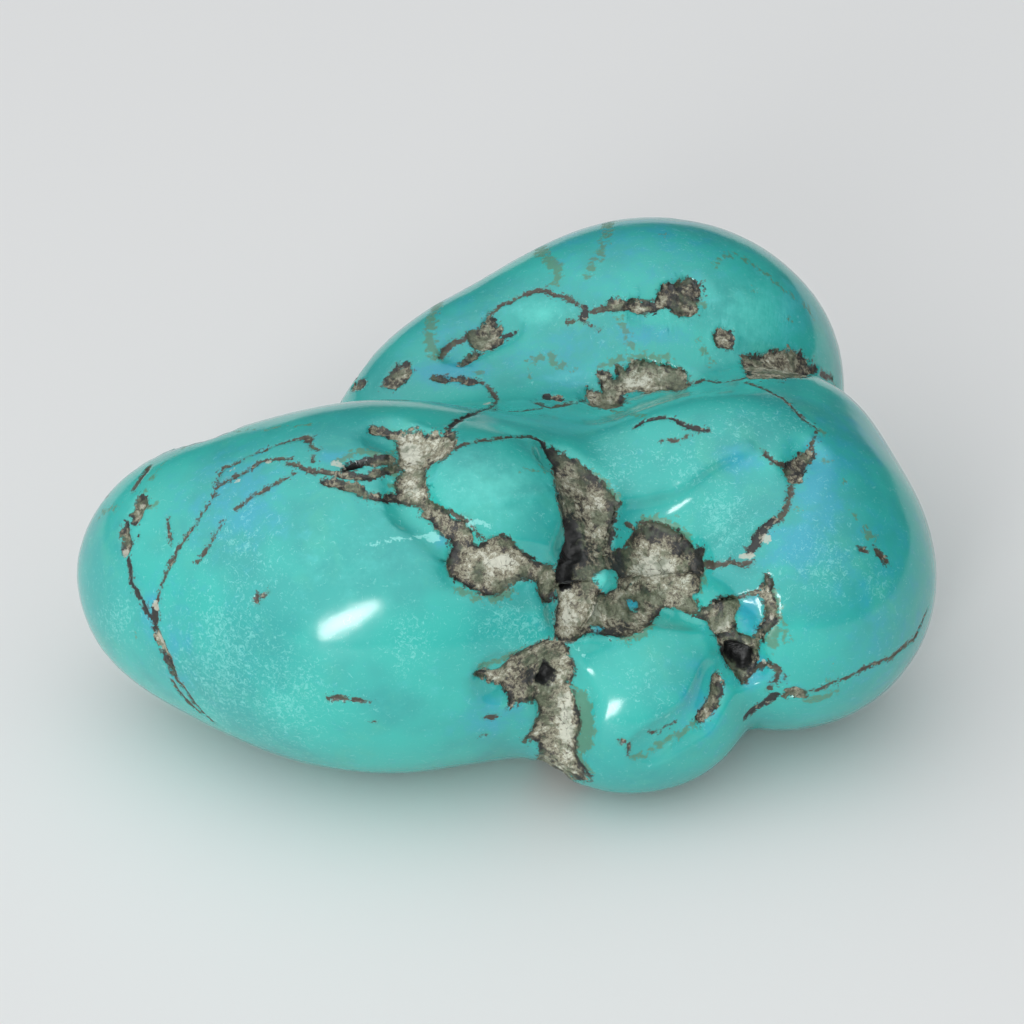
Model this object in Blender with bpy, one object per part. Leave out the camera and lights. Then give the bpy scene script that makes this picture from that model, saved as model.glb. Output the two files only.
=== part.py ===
"""A tumbled turquoise nugget: one closed, lumpy stone that lies on its worn underside.

The stone is three lobes grown together, a long egg to the left, a round lobe to the right
and one behind, with a small bump low in front and a cobble on top. Its form is a formula:
smoothly joined ellipsoids, cut flat where the stone rests, with hollows pressed in where softer
host rock wore away between the turquoise. A ball's grid of points is drawn in along straight
lines onto the joined lobes, gets more points round the hollows, and then settles into them,
while the spacing of its points evens out.

The tables are in millimetres. The finished mesh is in metres, +Z up, and its origin is the
middle of the underside.
"""

import bmesh
import bpy
import numpy as np

# Driving dimensions, in metres: the stone's overall size.
STONE_LENGTH = 0.055
STONE_DEPTH = 0.048
STONE_HEIGHT = 0.023

GRID = 23  # squares along each edge of the ball's six faces
HEART = (5.0, -8.0, 11.0)  # the point inside the lobes that all their skin can be seen from
BALL = (36.0, 36.0, 17.0)  # half sizes of the ball that the skin starts from
HALVINGS = 30  # of the search for the lobes' skin along each line
EVENING_ROUNDS = 8  # of spacing the points evenly, each followed by settling
EVENING = 0.5  # how far each point moves towards the middle of its neighbours
SETTLING_STEPS = 3
LONGEST_SETTLING_STEP = 0.5
LEAST_SLOPE = 0.2  # keeps the settling steps short where the skin's distance hardly changes
NUDGE = 0.01  # the step that slopes are measured over
FINE_MARGIN = 0.3  # how far beyond a stroke's edge the finer points reach
WORN_EDGE = 0.4  # how softly the underside turns up into the sides

# Each lobe: its middle, half sizes, turn in degrees (about up, across, along) and how softly
# it joins the lobes before it.
LOBES = {
    "left egg": ((-7.5, -12.0, 10.9), (15.8, 12.0, 11.6), (-4, -3, 0), 3.0),
    "left tip": ((-18.7, -9.5, 10.0), (8.5, 7.5, 8.0), (0, 0, 0), 6.0),
    "middle": ((1.5, -10.5, 9.8), (9.5, 10.5, 10.2), (0, 0, 0), 4.0),
    "right": ((16.0, -7.2, 10.0), (10.8, 13.0, 10.4), (24, 16, 0), 4.0),
    "core": ((4.0, 2.0, 8.3), (14.0, 14.0, 9.6), (0, 0, 0), 6.0),
    "shoulder": ((11.5, -8.0, 14.6), (9.5, 5.8, 6.6), (8, -12, 0), 3.0),
    "front bump": ((7.8, -17.1, 6.5), (7.5, 6.5, 6.4), (0, 0, 0), 2.5),
    "back": ((9.6, 11.5, 11.1), (13.4, 12.0, 11.7), (10, 0, 0), 4.0),
    "back wing": ((-2.4, 8.4, 9.6), (11.4, 7.5, 9.2), (46, -6, 0), 6.0),
    "right corner": ((17.8, -2.0, 13.0), (6.4, 7.0, 6.4), (20, 0, 0), 3.0),
    "cobble": ((-2.9, -13.9, 14.2), (9.3, 8.0, 8.5), (0, 0, 0), 0.8),
}

# Hollows are drawn as strokes on sheets held before the stone. A sheet passes
# through SHEET_MIDDLE, square to the sight line of an eye EYE_DISTANCE away, and its strokes
# are carried onto the stone along lines from that eye.
SHEET_MIDDLE = (0.3, 0.0, 8.6)
EYE_DISTANCE = 230.0
WAY_TO_STONE = 185.0  # the part of that distance that is sure to be free air
SIGHT_STEPS = 120  # from there on to the stone
SIGHT_SHARE = 0.8  # of the distance still to go, taken at each step
LONGEST_SIGHT_STEP = 2.0
SHEETS = {  # where the eye stands, in degrees: round from the front, and up from level
    "front": (0, 33),
    "back": (180, 25),
    "left": (-90, 20),
}

# Each stroke: its points (across, up) on the sheet, its width, and its depth.
STROKES = {
    "front": {
        "upper pocket": (((-8.2, 5.2), (-6.2, 4.4), (-6.9, 2.2), (-6.6, 0.5)), 3.8, 0.8),
        "band below the pocket": (((-6.6, 0.5), (-4.4, -1.6)), 3.4, 0.6),
        "pocket under the cobble": (((-2.8, -3.4), (1.5, -4.4)), 4.4, 0.9),
        "trough": (((3.3, 3.3), (5.1, 1.5), (4.9, -1.8), (3.8, -5.4)), 4.6, 1.0),
        "pocket under the shoulder": (((7.5, -3.0), (11.1, -3.3)), 4.8, 0.8),
        "shelf over the bump": (((3.9, -6.8), (8.4, -6.1), (13.0, -6.1)), 3.8, 0.8),
        "pit beside the bump": (((14.6, -7.8), (15.2, -10.0)), 3.8, 0.8),
        "star": (((-0.8, -11.1), (2.5, -10.4), (3.7, -12.7), (3.3, -15.4)), 4.2, 0.7),
        "groove round the bump": (((13.5, -11.1), (12.4, -13.6), (9.1, -15.7)), 3.2, 0.5),
        "face under the crest": (((7.3, -1.5), (9.8, -1.1), (12.2, 0.0), (15.0, 1.6)), 5.4, 0.7),
        "vein on the right": (((19.5, 3.8), (18.7, 2.1), (17.7, -0.5), (15.7, -2.7)), 3.2, 0.5),
        "saddle pocket": (((5.8, 7.8), (9.0, 8.8), (11.0, 8.6)), 3.4, 0.6),
        "back lobe pit": (((9.0, 13.4), (11.8, 14.6)), 3.6, 0.5),
        "back lobe pocket": (((-3.4, 10.8), (-0.6, 12.2)), 3.6, 0.5),
    },
    "back": {
        "long trough": (((-14.0, 3.0), (-9.0, 0.5), (-5.0, -3.5)), 4.2, 0.8),
        "back pit": (((3.0, 1.0), (4.5, 0.0)), 4.4, 0.8),
        "ledge pocket": (((13.0, 1.5), (16.0, -0.5), (18.5, -1.0)), 4.0, 0.7),
    },
    "left": {
        "tip hollow": (((6.5, 3.0), (4.5, -0.5)), 3.8, 0.6),
        "wing hollow": (((-9.0, 1.5), (-12.0, -1.5)), 4.4, 0.7),
    },
}

TURQUOISE = (0.075, 0.56, 0.50, 1.0)
TURQUOISE_ROUGHNESS = 0.22


def turned(yaw, pitch, roll):
    """The matrix that turns a lobe about up, then across, then along."""
    a, b, c = np.radians([yaw, pitch, roll])
    about_up = np.array([[np.cos(a), -np.sin(a), 0], [np.sin(a), np.cos(a), 0], [0, 0, 1]])
    across = np.array([[np.cos(b), 0, np.sin(b)], [0, 1, 0], [-np.sin(b), 0, np.cos(b)]])
    along = np.array([[1, 0, 0], [0, np.cos(c), -np.sin(c)], [0, np.sin(c), np.cos(c)]])
    return about_up @ across @ along


def joined(a, b, softness):
    """The nearer of two distances, rounded where they are about equal."""
    mix = np.maximum(softness - np.abs(a - b), 0.0) / softness
    return np.minimum(a, b) - mix**3 * softness / 6.0


def lobe_distance(points, middle, half_sizes, turn):
    """Roughly how far points lie outside an ellipsoid: below zero inside it."""
    local = (points - np.array(middle)) @ turned(*turn)
    half_sizes = np.array(half_sizes)
    share = np.linalg.norm(local / half_sizes, axis=1)
    slope = np.linalg.norm(local / half_sizes**2, axis=1)
    return share * (share - 1.0) / np.maximum(slope, 1e-6)


def body_distance(points):
    """How far points lie outside the joined lobes, cut flat at the underside."""
    lobes = list(LOBES.values())
    distance = lobe_distance(points, *lobes[0][:3])
    for middle, half_sizes, turn, softness in lobes[1:]:
        distance = joined(distance, lobe_distance(points, middle, half_sizes, turn), softness)
    return -joined(-distance, points[:, 2], WORN_EDGE)


def carried_onto_stone(strokes_points, sheet):
    """Points of a sheet, moved along lines from its eye until they meet the body."""
    round_, up = np.radians(SHEETS[sheet])
    across = np.array([np.cos(round_), np.sin(round_), 0.0])
    towards_eye = np.array([np.sin(round_) * np.cos(up), -np.cos(round_) * np.cos(up), np.sin(up)])
    upwards = np.cross(towards_eye, across)
    eye = np.array(SHEET_MIDDLE) + EYE_DISTANCE * towards_eye
    sheet_points = np.array(strokes_points) @ np.array([across, upwards]) + np.array(SHEET_MIDDLE)
    sight = sheet_points - eye
    sight /= np.linalg.norm(sight, axis=1)[:, None]
    travelled = np.full(len(sight), WAY_TO_STONE)
    for _ in range(SIGHT_STEPS):
        step = SIGHT_SHARE * body_distance(eye + sight * travelled[:, None])
        travelled += np.clip(step, -LONGEST_SIGHT_STEP, LONGEST_SIGHT_STEP)
    return eye + sight * travelled[:, None]


def with_steps(points, step=1.0):
    """A stroke's points with more set between them, so that it can follow the stone's curve."""
    full = [points[0]]
    for (x0, y0), (x1, y1) in zip(points[:-1], points[1:]):
        count = max(1, round(np.hypot(x1 - x0, y1 - y0) / step))
        full += [(x0 + (x1 - x0) * i / count, y0 + (y1 - y0) * i / count) for i in range(1, count + 1)]
    return full


def stroke_paths():
    """Every stroke as a path on the stone's skin, with its half width and depth."""
    paths = []
    for sheet, strokes in STROKES.items():
        for points, width, depth in strokes.values():
            paths.append((carried_onto_stone(with_steps(points), sheet), width / 2.0, depth))
    return paths


def path_distance(points, path):
    """How far points lie from a path of straight pieces."""
    nearest = np.full(len(points), np.inf)
    for start, end in zip(path[:-1], path[1:]):
        run = end - start
        share = np.clip((points - start) @ run / (run @ run), 0.0, 1.0)
        nearest = np.minimum(nearest, np.linalg.norm(points - start - share[:, None] * run, axis=1))
    return nearest


def stone_distance(points, paths):
    """The body's distance with every hollow pressed in."""
    distance = body_distance(points)
    for path, half_width, depth in paths:
        share = np.clip(1.0 - (path_distance(points, path) / half_width) ** 2, 0.0, 1.0)
        distance += depth * share * share * (3.0 - 2.0 * share)
    return distance


def drawn_onto_body(directions):
    """Where lines from the stone's heart leave the joined lobes, found by halving."""
    heart = np.array(HEART)
    near = np.zeros(len(directions))
    far = np.linalg.norm(directions, axis=1)
    directions = directions / far[:, None]
    for _ in range(HALVINGS):
        middle = (near + far) / 2.0
        outside = body_distance(heart + directions * middle[:, None]) > 0.0
        far = np.where(outside, middle, far)
        near = np.where(outside, near, middle)
    return heart + directions * near[:, None]


def settled(points, paths):
    """Points near the skin moved onto it, straight down or up the slope of its distance."""
    for _ in range(SETTLING_STEPS):
        distance = stone_distance(points, paths)
        slope = np.stack(
            [(stone_distance(points + NUDGE * axis, paths) - distance) / NUDGE for axis in np.eye(3)],
            axis=1,
        )
        move = distance / np.maximum((slope**2).sum(axis=1), LEAST_SLOPE)
        longest = LONGEST_SETTLING_STEP
        points = points - np.clip(move, -longest, longest)[:, None] * slope
    return points


def ball_grid():
    """A cube cut into squares and blown up into a long ball, as an editable mesh."""
    mesh = bmesh.new()
    bmesh.ops.create_cube(mesh, size=2.0)
    bmesh.ops.subdivide_edges(mesh, edges=mesh.edges[:], cuts=GRID - 1, use_grid_fill=True)
    for vertex in mesh.verts:
        even = np.tan(np.array(vertex.co) * np.pi / 4.0)  # keeps the squares near one size
        vertex.co = even / np.linalg.norm(even) * np.array(BALL)
    return mesh


def fitted(points):
    """The points stretched to the driving dimensions, standing on the middle of the underside."""
    low, high = points.min(axis=0), points.max(axis=0)
    middle = np.array([(low[0] + high[0]) / 2.0, (low[1] + high[1]) / 2.0, low[2]])
    sizes = np.array([STONE_LENGTH, STONE_DEPTH, STONE_HEIGHT])
    print("drawn size in mm:", np.round(high - low, 2), "drawn middle:", np.round(middle, 2))
    return (points - middle) * (sizes / (high - low))


def turquoise():
    material = bpy.data.materials.new("turquoise")
    material.diffuse_color = TURQUOISE
    material.use_nodes = True
    shader = material.node_tree.nodes["Principled BSDF"]
    shader.inputs["Base Color"].default_value = TURQUOISE
    shader.inputs["Roughness"].default_value = TURQUOISE_ROUGHNESS
    shader.inputs["Metallic"].default_value = 0.0
    return material


def places_of(mesh):
    mesh.verts.ensure_lookup_table()
    return np.array([vertex.co for vertex in mesh.verts])


def move_all(mesh, places):
    for vertex, place in zip(mesh.verts, places):
        vertex.co = place


def with_finer_strokes(mesh, paths):
    """Splits the squares that lie on a hollow, so that its edge has points to follow."""
    places = places_of(mesh)
    on_stroke = np.zeros(len(places), bool)
    for path, half_width, _ in paths:
        on_stroke |= path_distance(places, path) < half_width + FINE_MARGIN
    edges = [edge for edge in mesh.edges if all(on_stroke[end.index] for end in edge.verts)]
    bmesh.ops.subdivide_edges(mesh, edges=edges, cuts=1, use_grid_fill=True)
    bmesh.ops.triangulate(mesh, faces=mesh.faces[:])


def nugget():
    """The stone: the ball's grid drawn in onto the lobes and settled onto the skin."""
    paths = stroke_paths()
    grid = ball_grid()
    move_all(grid, drawn_onto_body(places_of(grid)))
    with_finer_strokes(grid, paths)
    for _ in range(EVENING_ROUNDS):
        move_all(grid, settled(places_of(grid), paths))
        bmesh.ops.smooth_vert(
            grid,
            verts=grid.verts[:],
            factor=EVENING,
            use_axis_x=True,
            use_axis_y=True,
            use_axis_z=True,
        )
    skin = settled(places_of(grid), paths)
    print("largest miss in mm:", np.abs(stone_distance(skin, paths)).max().round(4))
    move_all(grid, fitted(skin))
    bmesh.ops.recalc_face_normals(grid, faces=grid.faces[:])
    mesh = bpy.data.meshes.new("turquoise_nugget")
    grid.to_mesh(mesh)
    grid.free()
    mesh.shade_smooth()
    mesh.materials.append(turquoise())
    stone = bpy.data.objects.new("turquoise_nugget", mesh)
    bpy.context.collection.objects.link(stone)
    print("triangles:", len(mesh.polygons))


for old in list(bpy.data.objects):
    bpy.data.objects.remove(old, do_unlink=True)
nugget()
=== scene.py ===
# %% [markdown]
# # A tumbled turquoise nugget
# This lesson dresses one stone: a polished, three-lobed turquoise nugget with host rock left in
# its hollows and veins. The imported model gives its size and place. Here the same form is drawn
# again with a much finer skin, real grooves and hollows, and a stone material made of nodes.

# %% Load the fixed frame
import bmesh
import bpy
import numpy as np
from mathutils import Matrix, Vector, kdtree, noise


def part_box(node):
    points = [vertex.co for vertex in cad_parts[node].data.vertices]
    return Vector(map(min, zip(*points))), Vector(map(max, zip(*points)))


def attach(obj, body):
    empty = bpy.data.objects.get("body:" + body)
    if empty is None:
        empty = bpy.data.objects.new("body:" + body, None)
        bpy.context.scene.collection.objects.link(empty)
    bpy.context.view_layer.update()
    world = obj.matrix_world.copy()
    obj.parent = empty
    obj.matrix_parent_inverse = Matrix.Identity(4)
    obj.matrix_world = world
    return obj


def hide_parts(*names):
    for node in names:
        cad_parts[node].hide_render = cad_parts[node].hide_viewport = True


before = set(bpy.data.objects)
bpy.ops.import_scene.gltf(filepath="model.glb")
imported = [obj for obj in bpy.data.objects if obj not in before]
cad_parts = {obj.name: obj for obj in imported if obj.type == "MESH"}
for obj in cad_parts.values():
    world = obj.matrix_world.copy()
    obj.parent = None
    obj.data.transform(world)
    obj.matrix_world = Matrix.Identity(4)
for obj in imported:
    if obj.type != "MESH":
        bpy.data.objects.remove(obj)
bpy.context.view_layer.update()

NODE = "turquoise_nugget"
box_low, box_high = (np.array(corner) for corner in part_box(NODE))
print("the model's box in metres:", np.round(box_low, 4), np.round(box_high, 4))

# %% [markdown]
# ## The form of the stone
# A tumbled stone has no edges: it is a few soft lobes that run into each other. Sculpting would
# give that by hand. A formula gives it exactly and can be drawn at any fineness, so each lobe
# here is an ellipsoid, and a rounded minimum joins them. All the tables are in millimetres.

# %% Lobes, and how they join
WORN_EDGE = 0.4

# Each lobe: its middle, half sizes, turn in degrees (about up, across, along), and how softly
# it joins the lobes before it.
LOBES = {
    "left egg": ((-7.5, -12.0, 10.9), (15.8, 12.0, 11.6), (-4, -3, 0), 3.0),
    "left tip": ((-18.7, -9.5, 10.0), (8.5, 7.5, 8.0), (0, 0, 0), 6.0),
    "middle": ((1.5, -10.5, 9.8), (9.5, 10.5, 10.2), (0, 0, 0), 4.0),
    "right": ((16.0, -7.2, 10.0), (10.8, 13.0, 10.4), (24, 16, 0), 4.0),
    "core": ((4.0, 2.0, 8.3), (14.0, 14.0, 9.6), (0, 0, 0), 6.0),
    "shoulder": ((11.5, -8.0, 14.6), (9.5, 5.8, 6.6), (8, -12, 0), 3.0),
    "front bump": ((7.8, -17.1, 6.5), (7.5, 6.5, 6.4), (0, 0, 0), 2.5),
    "back": ((9.6, 11.5, 11.1), (13.4, 12.0, 11.7), (10, 0, 0), 4.0),
    "back wing": ((-2.4, 8.4, 9.6), (11.4, 7.5, 9.2), (46, -6, 0), 6.0),
    "right corner": ((17.8, -2.0, 13.0), (6.4, 7.0, 6.4), (20, 0, 0), 3.0),
    "cobble": ((-2.9, -13.9, 14.2), (9.3, 8.0, 8.5), (0, 0, 0), 0.8),
}


def turned(yaw, pitch, roll):
    """The matrix that turns a lobe about up, then across, then along."""
    a, b, c = np.radians([yaw, pitch, roll])
    about_up = np.array([[np.cos(a), -np.sin(a), 0], [np.sin(a), np.cos(a), 0], [0, 0, 1]])
    across = np.array([[np.cos(b), 0, np.sin(b)], [0, 1, 0], [-np.sin(b), 0, np.cos(b)]])
    along = np.array([[1, 0, 0], [0, np.cos(c), -np.sin(c)], [0, np.sin(c), np.cos(c)]])
    return about_up @ across @ along


def joined(a, b, softness):
    """The nearer of two distances, rounded where they are about equal."""
    mix = np.maximum(softness - np.abs(a - b), 0.0) / softness
    return np.minimum(a, b) - mix**3 * softness / 6.0


def length(rows):
    """The length of each row of three numbers."""
    return np.sqrt(np.einsum("ij,ij->i", rows, rows))


def lobe_distance(points, middle, half_sizes, axes):
    """Roughly how far points lie outside an ellipsoid: below zero inside it."""
    local = (points - middle) @ axes / half_sizes
    share = length(local)
    slope = length(local / half_sizes)
    return share * (share - 1.0) / np.maximum(slope, 1e-6)


READY_LOBES = [
    (np.array(middle), np.array(half_sizes), turned(*turn), softness)
    for middle, half_sizes, turn, softness in LOBES.values()
]


def body_distance(points):
    """How far points lie outside the joined lobes, cut flat at the underside."""
    distance = lobe_distance(points, *READY_LOBES[0][:3])
    for middle, half_sizes, axes, softness in READY_LOBES[1:]:
        distance = joined(distance, lobe_distance(points, middle, half_sizes, axes), softness)
    return -joined(-distance, points[:, 2], WORN_EDGE)


print(len(READY_LOBES), "lobes")

# %% [markdown]
# ## Sheets to draw on
# Marks on a round stone are hard to place in three dimensions. It is easier to look at the stone
# from one side, draw flat, and let each point travel along its own line of sight until it meets
# the skin. The front sheet is counted in picture points of 0.066 mm, the others in millimetres.

# %% Sheets, and carrying points from them onto the stone
SHEET_MIDDLE = np.array([0.3, 0.0, 8.6])
EYE_DISTANCE = 230.0
PICTURE_SIDE = 1024
POINT_SIZE = 0.066  # mm of the front sheet for each picture point
SHEETS = {  # where the eye stands, in degrees: round from the front, and up from level
    "front": (0, 33),
    "back": (180, 25),
    "left": (-90, 20),
    "right": (90, 20),
    "under": (0, -89),
}


def sheet_axes(sheet):
    """The sheet's directions: across, upwards, and towards its eye."""
    round_, up = np.radians(SHEETS[sheet])
    across = np.array([np.cos(round_), np.sin(round_), 0.0])
    to_eye = np.array([np.sin(round_) * np.cos(up), -np.cos(round_) * np.cos(up), np.sin(up)])
    return across, np.cross(to_eye, across), to_eye


def carried_onto_stone(flat_points, sheet, steps=120):
    """Points of a sheet, in mm, moved along lines from its eye until they meet the body."""
    across, upwards, to_eye = sheet_axes(sheet)
    eye = SHEET_MIDDLE + EYE_DISTANCE * to_eye
    sheet_points = np.array(flat_points) @ np.array([across, upwards]) + SHEET_MIDDLE
    sight = sheet_points - eye
    sight /= np.linalg.norm(sight, axis=1)[:, None]
    travelled = np.full(len(sight), EYE_DISTANCE - 45.0)
    for _ in range(steps):
        travelled += np.clip(0.8 * body_distance(eye + sight * travelled[:, None]), -2.0, 2.0)
    return eye + sight * travelled[:, None]


def picture_to_sheet(points):
    """Picture points (right, down) as millimetres (across, up) on the front sheet."""
    points = np.array(points, float)
    half = PICTURE_SIDE / 2.0
    return np.stack([points[:, 0] - half, half - points[:, 1]], axis=1) * POINT_SIZE


def sheet_to_picture(points, sheet="front"):
    """Where places on the stone are seen on the front sheet, in picture points."""
    across, upwards, to_eye = sheet_axes(sheet)
    offset = points - SHEET_MIDDLE
    scale = EYE_DISTANCE / (EYE_DISTANCE - offset @ to_eye)
    half = PICTURE_SIDE / 2.0
    seen = np.stack([offset @ across, -(offset @ upwards)], axis=1)
    return seen * scale[:, None] / POINT_SIZE + half


def with_steps(points, step=1.0):
    """A line's points with more set between them, so that it can follow the stone's curve."""
    full = [points[0]]
    for (x0, y0), (x1, y1) in zip(points[:-1], points[1:]):
        count = max(1, round(np.hypot(x1 - x0, y1 - y0) / step))
        full += [(x0 + (x1 - x0) * i / count, y0 + (y1 - y0) * i / count) for i in range(1, count + 1)]
    return full


print("front sheet:", round(PICTURE_SIDE * POINT_SIZE, 1), "mm wide")

# %% [markdown]
# ## Camera, light and floor
# The stone is seen from the front, 33 degrees above level, through a long lens as in a close-up.
# The light is soft all round, with one low panel to the left of the camera that makes the long
# highlight on the left lobe.

# %% Where the stone stands in the room
MM = 0.001
DRAWN_LOW = np.array([-27.2, -24.0, 0.0])  # the box that the tables above come to, in mm
DRAWN_HIGH = np.array([27.2, 23.5, 22.8])


def placed(points):
    """Drawn millimetres as metres in the frame: the drawn box is laid on the model's box."""
    share = (np.asarray(points) - DRAWN_LOW) / (DRAWN_HIGH - DRAWN_LOW)
    return box_low + share * (box_high - box_low)


print("stretch of the drawing:", np.round((box_high - box_low) / (DRAWN_HIGH - DRAWN_LOW) / MM, 4))

# %% Camera
SENSOR = 36.0


def aim(thing, target):
    """Turns a camera or lamp so that it looks at a place."""
    thing.rotation_euler = (Vector(target) - thing.location).to_track_quat("-Z", "Y").to_euler()


def front_camera():
    camera = bpy.data.objects.new("camera", bpy.data.cameras.new("camera"))
    bpy.context.collection.objects.link(camera)
    camera.location = placed(SHEET_MIDDLE + EYE_DISTANCE * sheet_axes("front")[2])
    aim(camera, placed(SHEET_MIDDLE))
    camera.data.sensor_width = SENSOR
    camera.data.lens = SENSOR * EYE_DISTANCE / (PICTURE_SIDE * POINT_SIZE)
    camera.data.clip_start = 0.01
    bpy.context.scene.camera = camera
    return camera


camera = front_camera()
print("lens:", round(camera.data.lens, 1), "mm")

# %% Lamps
# Each lamp: degrees round from the front (left is below zero), degrees up, distance and sides in
# metres, degrees that its long side leans to the right, watts.
LAMPS = {
    "slanted_strip": (-18, 15, 0.60, (0.10, 0.30), 32, 1.1),
}
TENT_COLOUR = (0.95, 0.98, 1.0, 1.0)
TENT_BRIGHT_SIDE = (-48, 62)  # degrees round from the front, and up from level
TENT_BRIGHTNESS = (0.07, 1.25)  # on the dark side and on the bright side


def hang_lamp(name, round_, up, distance, sides, lean, watts):
    lamp = bpy.data.objects.new(name, bpy.data.lights.new(name, "AREA"))
    bpy.context.collection.objects.link(lamp)
    lamp.data.shape = "ELLIPSE"
    lamp.data.size, lamp.data.size_y = sides
    lamp.data.energy = watts
    a, b = np.radians([round_, up])
    way = Vector((np.sin(a) * np.cos(b), -np.cos(a) * np.cos(b), np.sin(b)))
    middle = Vector(placed(SHEET_MIDDLE))
    lamp.location = middle + way * distance
    aim(lamp, middle)
    lamp.rotation_euler.rotate_axis("Z", -np.radians(lean))


def light_tent():
    """A world that grows softly brighter towards one side, like a cloth tent lit from there."""
    world = bpy.data.worlds.new("studio")
    world.use_nodes = True
    tree = world.node_tree
    background = tree.nodes["Background"]
    background.inputs["Color"].default_value = TENT_COLOUR
    a, b = np.radians(TENT_BRIGHT_SIDE)
    way = tree.nodes.new("ShaderNodeTexCoord")
    towards = tree.nodes.new("ShaderNodeVectorMath")
    towards.operation = "DOT_PRODUCT"
    towards.inputs[1].default_value = (np.sin(a) * np.cos(b), -np.cos(a) * np.cos(b), np.sin(b))
    tree.links.new(way.outputs["Generated"], towards.inputs[0])
    strength = tree.nodes.new("ShaderNodeMapRange")
    strength.interpolation_type = "SMOOTHSTEP"
    strength.inputs["From Min"].default_value = -0.1
    strength.inputs["From Max"].default_value = 1.0
    strength.inputs["To Min"].default_value, strength.inputs["To Max"].default_value = TENT_BRIGHTNESS
    tree.links.new(towards.outputs["Value"], strength.inputs["Value"])
    tree.links.new(strength.outputs["Result"], background.inputs["Strength"])
    bpy.context.scene.world = world


for name, facts in LAMPS.items():
    hang_lamp(name, *facts)
light_tent()
bpy.context.scene.view_settings.view_transform = "Standard"
print("lamps:", ", ".join(LAMPS), "and a light tent")

# %% [markdown]
# ## Marks on the front
# Turquoise fills cracks in a brown host rock. What is left of the rock shows as thin veins, as
# wider granular patches and as black pits. Each is a line or an outline on the front sheet, in
# picture points. A line holds its kind, its width and its points.

# %% Veins on the left lobe
FRONT_LINES = {
    "left rim": ("olive", 3, [(318, 424), (300, 426), (280, 427), (260, 430), (240, 431), (220, 432),
                              (200, 438), (180, 450), (165, 462), (152, 478), (145, 493)]),
    "tip top": ("brown", 6, [(150, 466), (140, 480), (133, 492)]),
    "tip cluster": ("rock", 12, [(140, 500), (143, 505), (138, 512), (136, 522)]),
    "tip cluster low": ("rock", 9, [(127, 525), (126, 535), (128, 545), (126, 553)]),
    "tip cluster right": ("black", 3, [(140, 533), (139, 542)]),
    "tip twig": ("olive", 6, [(122, 508), (112, 508), (100, 515)]),
    "tip stub": ("olive", 5, [(148, 506), (158, 506)]),
    "tip stem": ("black", 4, [(130, 558), (131, 570), (131, 582), (137, 592), (143, 603), (148, 612),
                              (153, 618)]),
    "tip faint": ("brown", 2, [(168, 518), (169, 530), (171, 538), (172, 545)]),
    "upper arc": ("brown", 3, [(302, 439), (290, 441), (275, 446), (260, 452), (248, 457), (238, 463),
                               (225, 467), (219, 476), (216, 490), (213, 500), (208, 507), (202, 514),
                               (197, 523), (190, 533), (185, 541), (178, 550), (173, 560), (167, 572),
                               (163, 583), (160, 592), (158, 602)]),
    "arc bead": ("black", 8, [(156, 607), (155, 615), (156, 623)]),
    "arc foot": ("rock", 6, [(157, 630), (161, 640), (166, 652), (170, 662), (175, 675)]),
    "foot left": ("brown", 3, [(172, 680), (178, 690), (185, 698), (193, 706), (200, 712)]),
    "foot right": ("brown", 3, [(176, 677), (188, 693), (195, 703), (203, 712), (214, 722)]),
    "second arc": ("brown", 3, [(292, 458), (283, 458), (270, 460), (262, 461), (252, 468), (240, 475),
                                (225, 481), (216, 490)]),
    "inner arc": ("brown", 3, [(295, 474), (288, 478), (280, 482), (270, 487), (258, 494), (250, 498),
                               (243, 504), (237, 509)]),
    "inner arc end": ("brown", 4, [(224, 521), (219, 529), (213, 537), (209, 545), (205, 553), (200, 560),
                                   (197, 563)]),
    "node twig": ("brown", 7, [(306, 437), (310, 441)]),
    "node tail": ("brown", 3, [(310, 443), (314, 448), (320, 450)]),
    "node drop": ("brown", 3, [(313, 455), (314, 462)]),
    "node line": ("brown", 4, [(288, 464), (298, 465), (305, 469), (312, 471), (322, 472), (330, 474),
                               (340, 474)]),
    "slot": ("black", 8, [(345, 469), (353, 465), (362, 462), (369, 461)]),
    "slot rock": ("rock", 10, [(372, 462), (382, 461), (394, 460)]),
    "slot band": ("olive", 7, [(335, 462), (345, 456), (355, 453), (365, 451), (375, 455), (385, 455),
                               (398, 450)]),
    "ridge vein": ("black", 5, [(440, 436), (447, 432), (452, 425), (462, 418), (472, 414), (482, 410),
                                (490, 408)]),
    "ridge vein end": ("brown", 3, [(490, 408), (500, 410), (510, 411), (520, 411), (530, 410),
                                    (545, 408)]),
    "lens vein": ("rock", 7, [(325, 482), (335, 483), (345, 485), (355, 487), (362, 493), (372, 497),
                               (385, 498), (395, 496)]),
    "lens upper": ("rock", 6, [(340, 474), (350, 476), (362, 477), (375, 474), (388, 470), (400, 468)]),
    "lobe fleck": ("brown", 5, [(257, 596), (257, 604)]),
    "lobe fleck twig": ("brown", 2, [(262, 597), (269, 592)]),
    "low fleck": ("brown", 6, [(329, 699), (338, 698), (347, 700)]),
    "low fleck right": ("brown", 4, [(352, 700), (362, 701), (370, 702)]),
    "low fleck dot": ("brown", 3, [(372, 722), (376, 722)]),
    "tip olive dot": ("olive", 7, [(133, 634), (135, 638)]),
}

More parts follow.
